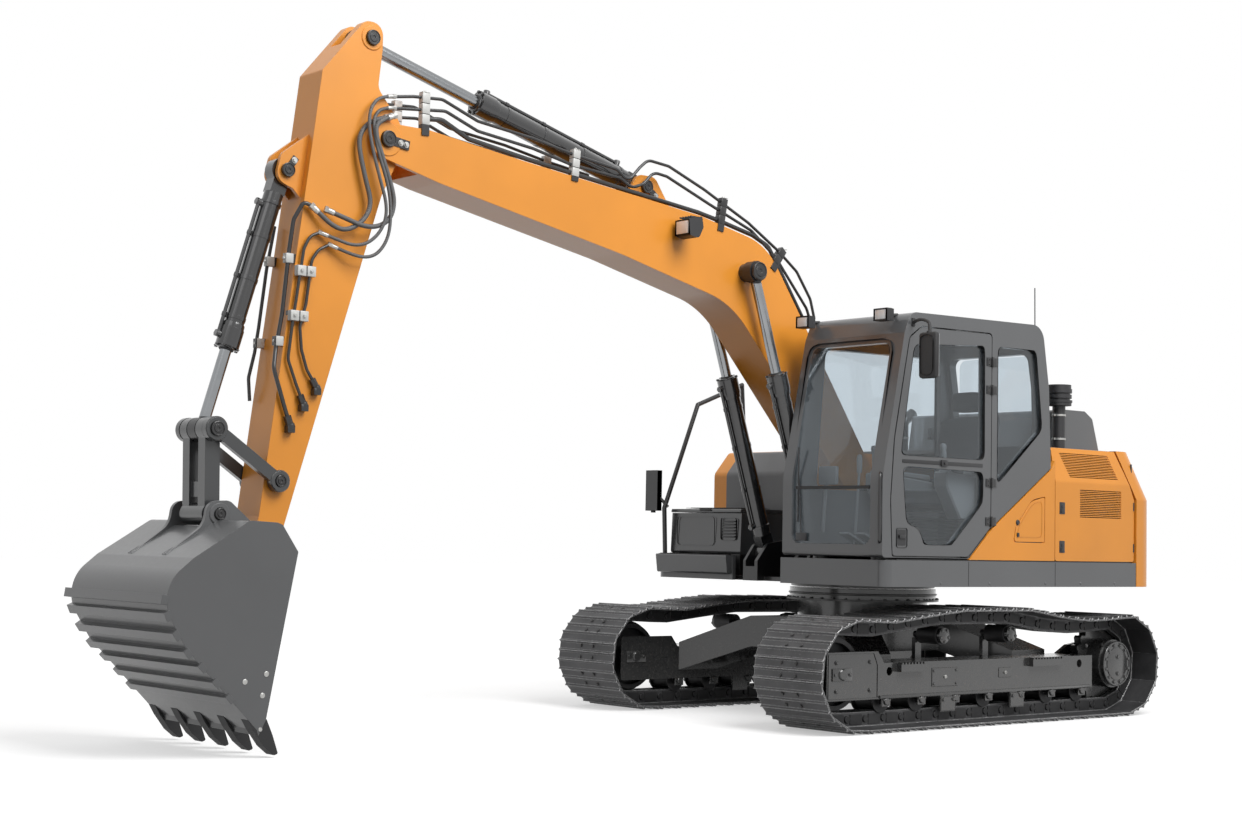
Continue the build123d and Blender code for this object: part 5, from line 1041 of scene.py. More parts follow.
@dataclass
class CabDress:
    """Seals, trims, hinges, handle and wiper of the cab and its door."""

    side_y: float = 1.232
    upper_light: Sequence[Point] = ((0.990, 1.772), (0.150, 1.772), (0.155, 2.545), (0.870, 2.500))
    lower_light: Sequence[Point] = (
        (0.970, 1.700), (0.930, 1.330), (0.800, 1.300), (0.760, 1.195), (0.480, 1.195), (0.165, 1.480), (0.160, 1.690))
    rear_light: Sequence[Point] = ((0.015, 1.610), (0.015, 2.550), (-0.400, 2.555), (-0.470, 2.005))
    right_light: Sequence[Point] = ((-0.380, 1.560), (0.900, 1.560), (0.820, 2.520), (-0.380, 2.540))
    # Low and high y, then low and high z.
    windscreen: Sequence[float] = (0.42, 1.127, 1.19, 2.51)
    bar_z: float = 1.549
    door: Sequence[Point] = (
        (1.062, 1.12), (0.310, 1.12), (0.080, 1.32), (0.080, 2.63), (0.800, 2.618), (0.915, 2.540), (1.050, 1.880),
        (1.082, 1.480))

    @staticmethod
    def screen_x(z: float) -> float:
        """The windscreen's front face at a height: almost upright below its fold, leaning back above it."""
        fold_x, fold_z = 1.143, 1.62
        return 1.141 + (z - 1.19) * 0.004 if z < fold_z else fold_x - (z - fold_z) * 0.1777

    def seals(self) -> None:
        """Black rubber round each pane, and the windscreen's border with its dividing bar."""
        door, cab = Form(), Form()
        inner, outer = self.side_y - 0.024, self.side_y + 0.003
        for light in (self.upper_light, self.lower_light):
            door.plate(rounded(light, 0.05), inner, outer, rim=0.024)
        cab.plate(rounded(self.rear_light, 0.05), inner, outer, rim=0.026)
        cab.plate(rounded(self.right_light, 0.06), 0.333, 0.36, rim=0.03)
        y_low, y_high, z_low, z_high = self.windscreen
        rim = 0.03
        outline = rectangle((y_low - rim, z_low - rim), (y_high + rim, z_high + rim))
        screen = Form()
        screen.plate(rounded(outline, 0.09), -0.008, 0.010, Side.X, rim=0.066)
        screen.box((-0.006, y_low + 0.02, self.bar_z), (0.006, y_high - 0.02, self.bar_z + 0.022), 0.0)
        shape = screen.shape
        for z in (1.3, 1.45, 1.62, 1.9, 2.2, 2.4):
            bmesh.ops.bisect_plane(shape, geom=shape.verts[:] + shape.edges[:] + shape.faces[:],
                                   plane_co=(0, 0, z), plane_no=(0, 0, 1))
        for vert in shape.verts:
            vert.co.x += self.screen_x(vert.co.z)
        cab.take(shape)
        door.piece("door_window_seals", Finishes.rubber, "cab_door")
        cab.piece("cab_window_seals", Finishes.rubber, "upper_structure")

    def door_trim(self) -> None:
        """Recessed handle, slider rail and latch, hinges and seal of the door."""
        seal = Form()
        seal.plate(rounded(self.door, 0.03), self.side_y - 0.03, self.side_y + 0.0015, rim=0.014)
        seal.piece("door_seal", Finishes.rubber, "cab_door")
        trim = Form()
        y = self.side_y
        trim.plate(rounded(rectangle((0.925, 1.175), (1.025, 1.300)), 0.015), y, y + 0.006, rim=0.012)
        trim.plate(rounded(rectangle((0.936, 1.186), (1.014, 1.289)), 0.01), y, y + 0.0015)
        trim.box((0.945, y + 0.001, 1.232), (1.005, y + 0.014, 1.256), 0.004)
        trim.box((0.17, y - 0.004, 1.722), (0.975, y + 0.004, 1.746), 0.002)
        trim.box((0.54, y + 0.002, 1.712), (0.6, y + 0.013, 1.756), 0.004)
        trim.rod((0.57, y + 0.01, 1.734), (0.57, y + 0.02, 1.734), 0.011, sides=12, rounding=0.002)
        trim.piece("door_handle_and_rail", Finishes.plastic, "cab_door")
        hinges, leaves = Form(), Form()
        for z in (1.36, 1.62, 2.25, 2.44):
            leaves.box((0.026, y - 0.002, z - 0.028), (0.068, y + 0.006, z + 0.028), 0.002)
            hinges.rod((0.076, y + 0.008, z - 0.035), (0.076, y + 0.008, z + 0.035), 0.009, sides=14, rounding=0.002)
            hinges.box((0.084, y - 0.002, z - 0.028), (0.135, y + 0.006, z + 0.028), 0.002)
            for dz in (-0.015, 0.015):
                hinges.bolt((0.112, y + 0.006, z + dz), (0, 1, 0), 0.006, 0.005)
        hinges.piece("door_hinges", Finishes.black, "cab_door")
        leaves.piece("door_hinge_leaves", Finishes.black, "upper_structure")

    def handrail(self) -> None:
        """Black handrail on the front corner pillar, with its two feet."""
        rail = Form()
        rail.tube(((1.133, 1.19, 1.655), (1.165, 1.215, 1.650), (1.178, 1.222, 1.60), (1.182, 1.222, 1.42),
                   (1.180, 1.222, 1.25), (1.168, 1.216, 1.205), (1.138, 1.19, 1.20)), 0.011, 4)
        for z in (1.652, 1.203):
            rail.turned((1.136, 1.192, z), (1, 0, 0), [(0.0, 0.012), (0.02, 0.01), (0.022, -0.004)], 16)
        rail.piece("cab_handrail", Finishes.black, "upper_structure")

    def wiper(self) -> None:
        """Parked wiper at the windscreen's right edge and its motor cover."""
        form = Form()
        form.box((1.142, 0.455, 1.205), (1.158, 0.55, 1.26), 0.006)
        form.rod((1.15, 0.5, 1.235), (1.148, 0.475, 1.62), 0.0045, 0.0035, sides=8)
        form.box((1.146, 0.463, 1.33), (1.153, 0.473, 1.83), 0.001)
        form.piece("windscreen_wiper", Finishes.plastic, "upper_structure")

    def build(self) -> None:
        """Build every group."""
        self.seals()
        self.door_trim()
        self.handrail()
        self.wiper()


@dataclass
class Interior:
    """Seat, consoles, levers, display and floor mat inside the cab."""

    floor_z: float = 1.168
    middle_y: float = 0.7835
    cushion_cuts: int = 9
    edge_share: float = 0.72
    channel_depth: float = 0.35
    channel_width: float = 0.03
    seat_channels: Sequence[float] = (0.3, 0.5, 0.7)

    @staticmethod
    def leaning(pivot: Point, lean_deg: float) -> Matrix:
        """The placement that leans a part back about a pivot."""
        foot = Vector(pivot)
        return Matrix.Translation(foot) @ Matrix.Rotation(math.radians(lean_deg), 4, "Y") @ Matrix.Translation(-foot)

    def cushion(self, name: str, low: Point, high: Point, lean_deg: float, channels: Sequence[float],
                along_z: bool) -> None:
        """One padded piece of the seat.

        Args:
            name: Its name.
            low: Its lower corner before it leans.
            high: Its upper corner before it leans.
            lean_deg: How far it leans back about its lower edge.
            channels: Where its sewn channels run, as shares of its length.
            along_z: True where that length stands up, as on a backrest.
        """
        part = bmesh.new()
        bmesh.ops.create_cube(part, size=1.0)
        bmesh.ops.subdivide_edges(part, edges=part.edges[:], cuts=self.cushion_cuts, use_grid_fill=True)
        size = Vector([b - a for a, b in zip(low, high)])
        middle = Vector([(a + b) / 2 for a, b in zip(low, high)])
        thin = 0 if along_z else 2
        long = 2 if along_z else 0
        for vert in part.verts:
            unit = vert.co * 2
            others = [abs(unit[k]) for k in range(3) if k != thin]
            crown = (1 - others[0] ** 4) * (1 - others[1] ** 4)
            pull = 1 - 0.05 * (1 - abs(unit[thin]) ** 2)
            for channel in channels:
                share = (unit[long] + 1) / 2
                valley = math.exp(-((share - channel) / self.channel_width) ** 2)
                crown -= self.channel_depth * valley * (1 - others[0 if along_z else 1] ** 6)
            round_off = 1 - 0.12 * max(0.0, others[0] + others[1] - 1.4)
            for axis in range(3):
                vert.co[axis] *= size[axis] * (round_off if axis != thin else 1.0)
            vert.co[thin] *= self.edge_share + (1 - self.edge_share) * max(0.0, crown)
            for axis in range(3):
                if axis != thin:
                    vert.co[axis] *= pull
        bmesh.ops.smooth_vert(part, verts=part.verts, factor=0.35, use_axis_x=True, use_axis_y=True, use_axis_z=True)
        place = self.leaning((low[0], middle.y, low[2]), lean_deg) @ Matrix.Translation(middle)
        obj = Form().take(part, place).piece(name, Finishes.seat, "upper_structure", 80)
        modifier = obj.modifiers.new("smooth", "SUBSURF")
        modifier.levels = 1
        modifier.render_levels = 1
        if name == "seat_cushion":
            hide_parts("cab_interior")

    def seat(self) -> None:
        """Seat base, cushions and headrest."""
        y = self.middle_y
        z = self.floor_z
        base = Form()
        base.box((-0.12, y - 0.15, z), (0.28, y + 0.15, z + 0.05), 0.008)
        base.box((-0.08, y - 0.12, z + 0.05), (0.24, y + 0.12, z + 0.2), 0.02)
        base.row((-0.1, y - 0.14, z + 0.06), (0.26, y + 0.14, z + 0.078), (0, 0, 0.027), 5, 0.006)
        base.box((-0.17, y - 0.215, z + 0.2), (0.34, y + 0.215, z + 0.25), 0.012)
        base.box((-0.24, y - 0.2, z + 0.27), (-0.185, y + 0.2, z + 0.95), 0.02,
                 self.leaning((-0.2, 0, z + 0.27), -8))
        base.piece("seat_frame", Finishes.plastic, "upper_structure")
        self.cushion("seat_cushion", (-0.16, y - 0.235, z + 0.25), (0.37, y + 0.235, z + 0.38), -4,
                     self.seat_channels, False)
        self.cushion("seat_backrest", (-0.19, y - 0.225, z + 0.36), (-0.07, y + 0.225, z + 0.92), -8,
                     self.seat_channels, True)
        self.cushion("seat_headrest", (-0.26, y - 0.13, z + 0.96), (-0.17, y + 0.13, z + 1.1), -4, (), True)

    def controls(self) -> None:
        """Side consoles, joysticks, travel levers with pedals, the display and the floor mat."""
        z = self.floor_z
        consoles = Form()
        for side in (-1, 1):
            y = self.middle_y + side * 0.31
            consoles.plate(((-0.15, z + 0.2), (0.3, z + 0.2), (0.44, z + 0.42), (0.44, z + 0.52), (-0.15, z + 0.47)),
                           y - 0.06, y + 0.06, rounding=0.01)
            consoles.plate(((-0.1, z), (0.16, z), (0.2, z + 0.2), (-0.14, z + 0.2)), y - 0.045, y + 0.045,
                           rounding=0.006)
            consoles.plate(((-0.14, z + 0.475), (0.16, z + 0.495), (0.16, z + 0.535), (-0.14, z + 0.52)), y - 0.045,
                           y + 0.045, rounding=0.012)
            stick = Vector((0.39, y, z + 0.51))
            consoles.turned(stick, (0.1, 0, 1), [(0.0, 0.0), (0.045, 0.0), (0.04, 0.02), (0.032, 0.03), (0.026, 0.045),
                                                 (0.014, 0.06), (0.0, 0.062)], 18)
            consoles.rod(stick, stick + Vector((0.012, 0, 0.11)), 0.008, sides=10)
            consoles.turned(stick + Vector((0.012, 0, 0.09)), (0.12, 0, 1),
                            [(0.0, 0.0), (0.017, 0.004), (0.021, 0.03), (0.018, 0.06), (0.024, 0.085), (0.018, 0.105),
                             (0.0, 0.11)], 16)
        for side in (-1, 1):
            y = self.middle_y + side * 0.07
            consoles.rod((0.86, y, z), (0.82, y, z + 0.52), 0.009, sides=10)
            consoles.turned((0.82, y, z + 0.5), (0, 0, 1),
                            [(0.0, 0.0), (0.018, 0.0), (0.02, 0.09), (0.014, 0.12), (0.0, 0.125)], 14)
            consoles.box((0.8, y - 0.045, z + 0.05), (0.97, y + 0.045, z + 0.066), 0.004,
                         self.leaning((0.88, 0, z + 0.06), -24))
        consoles.box((0.88, 0.425, z + 0.42), (0.915, 0.585, z + 0.545), 0.01)
        consoles.rod((0.89, 0.45, z + 0.1), (0.895, 0.48, z + 0.43), 0.012, sides=10)
        consoles.piece("cab_controls", Finishes.trim, "upper_structure")
        screen = Form()
        screen.box((0.876, 0.44, z + 0.435), (0.8805, 0.57, z + 0.53), 0.001)
        screen.piece("display_glass", Finishes.plastic, "upper_structure")
        floor = Form()
        floor.box((0.42, 0.41, z - 0.001), (1.07, 1.15, z + 0.008), 0.003)
        floor.row((0.46, 0.44, z + 0.007), (0.478, 1.12, z + 0.012), (0.05, 0, 0), 12)
        floor.piece("floor_mat", Finishes.rubber, "upper_structure")

    def build(self) -> None:
        """Build every group."""
        self.seat()
        self.controls()


@dataclass
class LampsAndMirrors:
    """Lenses, bezels and brackets of the lamps, and the rear mirrors."""

    def lamps(self) -> None:
        """Roof lamps and the boom lamp."""
        lenses, bezels = Form(), Form()
        for y in (0.38, 1.09):
            lenses.box((1.043, y - 0.046, 2.659), (1.0485, y + 0.046, 2.721), 0.003)
            bezels.plate(rectangle((y - 0.055, 2.65), (y + 0.055, 2.73)), 1.04, 1.052, Side.X, rim=0.007)
            bezels.box((0.962, y - 0.018, 2.655), (0.978, y + 0.018, 2.7), 0.003)
            bezels.row((0.985, y - 0.05, 2.729), (0.989, y + 0.05, 2.7335), (0.011, 0, 0), 5)
        lenses.piece("roof_lamp_lenses", Finishes.lens, "upper_structure")
        bezels.piece("roof_lamp_bezels", Finishes.plastic, "upper_structure")
        lens = Form()
        lens.box((2.042, 0.202, 3.192), (2.052, 0.318, 3.276), 0.003)
        lens.piece("boom_lamp_lens", Finishes.lens, "boom")
        hood = Form()
        hood.plate(rectangle((0.194, 3.182), (0.326, 3.284)), 2.036, 2.054, Side.X, rim=0.009)
        hood.row((1.95, 0.208, 3.298), (2.03, 0.213, 3.309), (0, 0.026, 0), 5)
        hood.bolt((1.991, 0.2, 3.215), (0, 0, -1), 0.012, 0.012)
        hood.piece("boom_lamp_bezel", Finishes.plastic, "boom")

    def mirrors(self) -> None:
        """The left mirror's head and stay, the right mirror's rim, and the glass of both."""
        left = Form()
        x, y, z = 1.035, 1.5, 2.4
        left.box((x - 0.024, y - 0.074, z - 0.149), (x + 0.024, y + 0.074, z + 0.149), 0.022)
        left.tube(((x - 0.004, y, z + 0.13), (x - 0.02, y - 0.01, z + 0.20), (0.985, 1.44, 2.63), (0.93, 1.32, 2.655),
                   (0.885, 1.235, 2.64)), 0.011, 4)
        left.rod((x, y, z + 0.09), (x, y, z + 0.155), 0.017, sides=16, rounding=0.003)
        ring = rectangle((y - 0.055, z - 0.13), (y + 0.055, z + 0.13))
        left.plate(rounded(ring, 0.04), x + 0.022, x + 0.03, Side.X, rim=0.012)
        left.box((0.87, 1.225, 2.615), (0.9, 1.24, 2.67), 0.004)
        obj = left.piece("left_mirror", Finishes.rubber, "upper_structure")
        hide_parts("mirrors")
        glass = Form()
        glass.box((x - 0.0265, y - 0.062, z - 0.135), (x - 0.0225, y + 0.062, z + 0.135), 0.001)
        glass.box((0.8375, -1.388, 1.42), (0.8405, -1.272, 1.7), 0.001)
        glass.piece("mirror_glasses", Finishes.mirror, "upper_structure")
        right = Form()
        right.plate(rectangle((-1.3945, 1.409), (-1.264, 1.711)), 0.836, 0.882, Side.X, rounding=0.004, rim=0.012)
        right.rod((0.86, -1.33, 1.412), (0.86, -1.33, 1.395), 0.018, sides=16)
        right.piece("right_mirror_rim", Finishes.plastic, "upper_structure")

    def build(self) -> None:
        """Build every group."""
        self.lamps()
        self.mirrors()


@dataclass
class House:
    """Latches, screens, bands, bolts and treads of the engine house, the skirts, the step and the toolbox."""

    side_y: float = 1.233
    skirt_y: float = 1.245
    fold_z: float = 1.655
    fold_slope: float = 0.18
    deck_z: float = 1.9

    def doors(self) -> None:
        """Latches, hinges and louvre backing of the engine doors; bead and lock of the storage door."""
        y = self.side_y
        for side, body in ((1, "engine_door_left"), (-1, "engine_door_right")):
            latch = Form()
            for x, z in ((-0.70, 1.47), (-0.70, 1.2)):
                latch.box((x - 0.03, side * (y - 0.004), z - 0.042), (x + 0.03, side * (y + 0.004), z + 0.042), 0.004)
                latch.rod((x, side * y, z + 0.012), (x, side * (y + 0.008), z + 0.012), 0.013, rounding=0.002)
                latch.box((x - 0.018, side * (y + 0.002), z - 0.034), (x + 0.018, side * (y + 0.009), z - 0.006))
            for z in (1.2, 1.5, 1.78):
                lean = max(0.0, z - self.fold_z) * self.fold_slope
                foot = side * (y - lean - 0.002)
                latch.rod((-1.543, foot, z - 0.03), (-1.543, foot, z + 0.03), 0.007, sides=12)
            latch.piece(body + "_latches", Finishes.plastic, body)
            back = Form()
            back.box((-1.4, side * (y - 0.042), 1.4), (-0.895, side * (y - 0.036), 1.625), 0.001)
            back.row((-1.39, side * (y - 0.036), 1.4155), (-0.905, side * (y - 0.03), 1.4185), (0, 0, 0.012625), 16)
            back.piece(body + "_screen", Finishes.rubber, body)
        lock = Form()
        bead = ((-0.47, 1.26), (-0.2, 1.26), (-0.215, 1.33), (-0.365, 1.49), (-0.47, 1.515))
        lock.plate(rounded(bead, 0.04), y - 0.001, y + 0.004, rounding=0.002, rim=0.014)
        lock.piece("storage_door_bead", Finishes.orange, "storage_door")
        key = Form()
        key.turned((-0.205, y, 1.36), (0, 1, 0),
                   [(0.0, 0.011), (0.014, 0.011), (0.018, 0.006), (0.02, 0.0), (0.02, -0.004)], 20)
        key.box((-0.218, y, 1.262), (-0.196, y + 0.01, 1.29), 0.003)
        key.piece("storage_door_lock", Finishes.plastic, "storage_door")

    def deck(self) -> None:
        """Anti-slip strips, the hood's latches and screens, and the bands of exhaust and air cleaner."""
        strips = Form()
        pitch = 0.035
        for x, y_low, y_high in ((-0.9, -1.05, -0.5), (-0.72, -1.05, 0.3), (-0.72, 0.45, 0.85)):
            strips.box((x - 0.05, y_low, self.deck_z), (x + 0.05, y_high, self.deck_z + 0.0035), 0.0)
            for index in range(int((y_high - y_low) / pitch)):
                strips.dome((x, y_low + 0.012 + index * pitch, self.deck_z + 0.0035), (0, 0, 1), 8)
        strips.piece("deck_treads", Finishes.grip, "upper_structure")
        hood = Form()
        for y in (-0.2, 0.78):
            hood.box((-0.962, y - 0.02, 2.0), (-0.944, y + 0.02, 2.09), 0.005)
            hood.rod((-0.95, y - 0.014, 2.02), (-0.95, y + 0.014, 2.02), 0.008, sides=12)
        for y in (-0.3, 0.88):
            hood.rod((-1.432, y - 0.05, 1.916), (-1.432, y + 0.05, 1.916), 0.009, sides=14)
        hood.piece("hood_latches", Finishes.black, "engine_hood")
        screen = Form()
        for y_low, y_high in ((0.79, 0.965), (-0.385, -0.21)):
            screen.box((-1.29, y_low, 2.138), (-1.02, y_high, 2.143), 0.0)
        screen.piece("hood_screens", Finishes.rubber, "engine_hood")
        bands = Form()
        for z in (1.96, 2.13):
            bands.collar((-0.878, 1.065, z), (0, 0, 1), 0.046, 0.05, 0.0, 0.014)
            bands.box((-0.832, 1.055, z - 0.001), (-0.812, 1.075, z + 0.015), 0.002)
        bands.collar((-1.12, -0.62, 2.02), (0, 0, 1), 0.042, 0.0465, 0.0, 0.02)
        bands.turned((-1.12, -0.62, 1.92), (0, 0, 1), [(0.07, 0.0), (0.074, 0.0), (0.074, 0.006), (0.04, 0.012)], 28)
        bands.piece("pipe_bands", Finishes.zinc, "upper_structure")

    def skirts(self) -> None:
        """Seams and bolts of the side skirts, and the tread of the front step."""
        y = self.skirt_y
        lines = Form()
        for x in (-0.61, 0.32):
            lines.box((x - 0.0025, y - 0.004, 0.925), (x + 0.0025, y + 0.0008, 1.088), 0.0)
        lines.both_sides().piece("skirt_seams", Finishes.rubber, "upper_structure")
        bolts = Form()
        for x in (-1.3, -0.9, -0.5, 0.1, 0.6):
            bolts.dome((x, y, 0.945), (0, 1, 0), 12)
        bolts.both_sides().piece("skirt_bolts", Finishes.grey, "upper_structure")
        tread = Form()
        tread.plate(rectangle((0.903, -1.16), (0.95, -0.45)), 1.092, 1.095, Side.Z)
        tread.row((0.908, -1.145, 1.0945), (0.946, -1.131, 1.099), (0, 0.0322, 0), 22)
        tread.piece("front_step_tread", Finishes.grip, "upper_structure")

    def toolbox(self) -> None:
        """Vent slats and panel of the toolbox, and its lid's treads and handle."""
        form = Form()
        form.plate(rounded(rectangle((-0.66, 1.2), (-0.5, 1.36)), 0.02), 0.785, 0.797, Side.X, rim=0.012)
        form.row((0.784, -0.645, 1.22), (0.7965, -0.515, 1.23), (0, 0, 0.022), 6, 0.002)
        form.piece("toolbox_vent", Finishes.plastic, "upper_structure")
        panel = Form()
        outline = rectangle((-1.13, 1.16), (-0.73, 1.37))
        panel.plate(rounded(outline, 0.03), 0.788, 0.7945, Side.X, rounding=0.002, rim=0.012)
        panel.piece("toolbox_panel", Finishes.black, "upper_structure")
        lid = Form()
        lid.box((0.4, -1.12, 1.431), (0.72, -0.55, 1.434), 0.001)
        lid.row((0.42, -1.1, 1.4335), (0.432, -0.57, 1.437), (0.032, 0, 0), 9)
        lid.box((0.788, -0.89, 1.41), (0.797, -0.77, 1.43), 0.003)
        lid.piece("toolbox_lid_treads", Finishes.grip, "toolbox_lid")

    def build(self) -> None:
        """Build every group."""
        self.doors()
        self.deck()
        self.skirts()
        self.toolbox()


@dataclass
class Pins:
    """Caps, bosses and keeper bolts of the boom, arm and bucket pins."""

    # Body, distance from the middle plane, then x and z.
    keepers: Sequence[tuple] = (
        ("boom", 0.17, (4.166, 3.483)), ("boom", 0.17, (4.205, 3.488)), ("boom", 0.09, (2.138, 3.449)),
        ("arm", 0.084, (4.866, 3.305)))

    def cap(self, form: Form, x: float, z: float, y: float, radius: float) -> None:
        """Round pin end with a chamfer, a centre plug and a ring."""
        form.turned((x, y, z), (0, 1, 0), [
            (radius * share, height) for share, height in (
                (0.0, 0.001), (0.22, 0.001), (0.26, 0.005), (0.55, 0.005), (0.6, 0.001),
                (0.86, 0.001), (0.9, 0.006), (1.0, 0.004), (1.03, -0.004))], 36)

    def boss(self, form: Form, x: float, z: float, y: float, inner: float, outer: float) -> None:
        """Raised ring of the plate round a pin."""
        form.turned((x, y, z), (0, 1, 0), [
            (inner, -0.001), (inner, 0.006), (outer - 0.004, 0.006), (outer, 0.002), (outer, -0.001)], 40)

    def build(self) -> None:
        """Build the caps by body."""
        # Rows of caps: x, z, distance from the middle plane, radius.
        for body, rows in (
                ("boom", ((4.293, 3.5, 0.182, 0.048), (2.214, 3.501, 0.098, 0.044))),
                ("boom_rods", ((1.381, 3.011, 0.307, 0.062),)),
                ("arm", ((4.395, 4.089, 0.143, 0.044), (4.906, 3.245, 0.092, 0.04), (4.947, 1.477, 0.181, 0.032))),
                ("side_links", ((5.352, 1.75, 0.187, 0.04),)),
                ("bucket", ((5.34, 1.285, 0.223, 0.032), (5.015, 1.095, 0.211, 0.032)))):
            form = Form()
            for x, z, y, radius in rows:
                self.cap(form, x, z, y, radius)
            form.both_sides().piece(body + "_pin_caps", Finishes.black, body)
        # Rows of bosses: x, z, distance from the middle plane, inner and outer radius.
        for body, finish, rows in (
                ("boom", Finishes.orange, ((4.293, 3.5, 0.16, 0.05, 0.1), (0.12, 1.495, 0.16, 0.045, 0.085))),
                ("arm", Finishes.orange, ((4.395, 4.089, 0.125, 0.046, 0.074),)),
                ("side_links", Finishes.link,
                 ((4.947, 1.477, 0.173, 0.036, 0.06), (5.352, 1.75, 0.173, 0.042, 0.066))),
                ("bucket", Finishes.bucket, ((5.34, 1.285, 0.211, 0.036, 0.062), (5.015, 1.095, 0.211, 0.036, 0.07)))):
            form = Form()
            for x, z, y, inner, outer in rows:
                self.boss(form, x, z, y, inner, outer)
            form.both_sides().piece(body + "_pin_bosses", finish, body)
        for body in ("boom", "arm"):
            form = Form()
            for owner, y, (x, z) in self.keepers:
                if owner == body:
                    form.bolt((x, y, z), (0, 1, 0), 0.014, 0.012)
            form.both_sides().piece(body + "_keeper_bolts", Finishes.zinc, body)


@dataclass
class Cylinders:
    """Gland bolts, wiper rings and feed pipe straps of the hydraulic cylinders."""

    # Body, foot pin, rod eye, radii of barrel, head and rod, distance from foot to head, side of the feed
    # pipe (1 above, -1 below), and whether there is a pair of them.
    rows: Sequence[tuple] = (
        ("boom_barrels", (0.738, 0.245, 1.112), (1.381, 0.245, 3.011), 0.062, 0.074, 0.036, 1.283, -1, True),
        ("arm_barrel", (2.214, 0.0, 3.501), (4.395, 0.0, 4.089), 0.068, 0.080, 0.040, 1.378, 1, False),
        ("bucket_barrel", (4.906, 0.0, 3.245), (5.352, 0.0, 1.750), 0.056, 0.068, 0.033, 1.075, 1, False))

    def build(self) -> None:
        """Dress each barrel."""
        for body, pin, eye, barrel_r, head_r, rod_r, end, feed, twin in self.rows:
            start = Vector(pin)
            ahead = (Vector(eye) - start).normalized()
            off = Vector((-ahead.z, 0, ahead.x)) * feed
            head = start + ahead * end
            form = Form()
            form.turned(head, ahead, [(rod_r + 0.009, -0.012), (rod_r + 0.022, -0.012), (rod_r + 0.022, 0.006),
                                      (rod_r + 0.014, 0.012), (rod_r + 0.002, 0.012), (rod_r + 0.002, -0.004)], 36)
            form.turned(head - ahead * 0.11, ahead, [(barrel_r - 0.002, -0.03), (barrel_r + 0.006, -0.03),
                                                     (barrel_r + 0.008, -0.02), (barrel_r + 0.008, 0.0)], 40)
            form.turned(start + ahead * 0.19, ahead, [(barrel_r - 0.002, 0.0), (barrel_r + 0.005, 0.003),
                                                      (barrel_r + 0.005, 0.022), (barrel_r - 0.002, 0.025)], 40)
            form.bolt_ring(head, ahead, (head_r + rod_r) / 2 + 0.012, 8, 0.0095, 0.011)
            reach = barrel_r + 0.019
            for share in (0.38, 0.62, 0.84):
                middle = start + ahead * end * share
                form.collar(middle, ahead, barrel_r - 0.001, barrel_r + 0.003, -0.012, 0.012, 36)
                foot = middle + off * (barrel_r - 0.002)
                form.rod(foot - ahead * 0.015, foot + ahead * 0.015, 0.009, sides=8)
                form.collar(middle + off * reach, ahead, 0.0105, 0.0145, -0.011, 0.011, 14)
            for place in (0.22, end - 0.055):
                block = start + ahead * place + off * (reach + 0.012)
                form.rod(block - off * 0.012, block + off * 0.006, 0.021, sides=6)
            if twin:
                form.both_sides()
            form.piece(body + "_fittings", Finishes.barrel, body)
            ring = Form()
            ring.turned(head + ahead * 0.011, ahead, [
                (rod_r + 0.001, 0.0), (rod_r + 0.009, 0.0), (rod_r + 0.007, 0.006), (rod_r + 0.001, 0.009)], 32)
            if twin:
                ring.both_sides()
            ring.piece(body + "_wiper_rings", Finishes.rubber, body)


@dataclass
class Bucket:
    """Plugs, tooth pins and weld beads of the bucket."""

    side_y: float = 0.562
    plugs: Sequence[Point] = ((5.352, 0.405), (5.225, 0.443), (5.245, 0.33))
    teeth: int = 5
    tooth_pitch: float = 0.262
    tooth_half: float = 0.038
    ear_faces: Sequence[float] = (0.183, 0.211)
    weld_route: Sequence[Point] = ((5.172, 1.236), (5.345, 1.246), (5.56, 1.118), (5.655, 1.062))

    def build(self) -> None:
        """Dress the bucket."""
        bolts = Form()
        for x, z in self.plugs:
            bolts.button((x, self.side_y, z), (0, 1, 0), 0.011, 0.015, 0.004, 0.002, -0.002, 16)
        bolts.both_sides().piece("bucket_plugs", Finishes.zinc, "bucket")
        pins = Form()
        for index in range(self.teeth):
            centre = (index - self.teeth // 2) * self.tooth_pitch
            for side in (-1, 1):
                face = centre + side * self.tooth_half
                pins.button((5.252, face, 0.152), (0, side, 0), 0.01, 0.012, 0.005, 0.002, -0.002, 12)
        pins.piece("tooth_pins", Finishes.zinc, "bucket")
        welds = Form()
        for side in (-1, 1):
            for ear in self.ear_faces:
                welds.tube([(x, side * ear, z) for x, z in self.weld_route], 0.006, 2)
        welds.piece("bucket_welds", Finishes.bucket, "bucket")


def dress_frame() -> None:
    """Give every carried-over solid its finish."""
    for name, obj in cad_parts.items():
        finish = NODE_FINISH.get(name, Finishes.black)
        obj.data.materials.clear()
        obj.data.materials.append(finish.material())
    LOG.info("%d solids dressed", len(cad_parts))


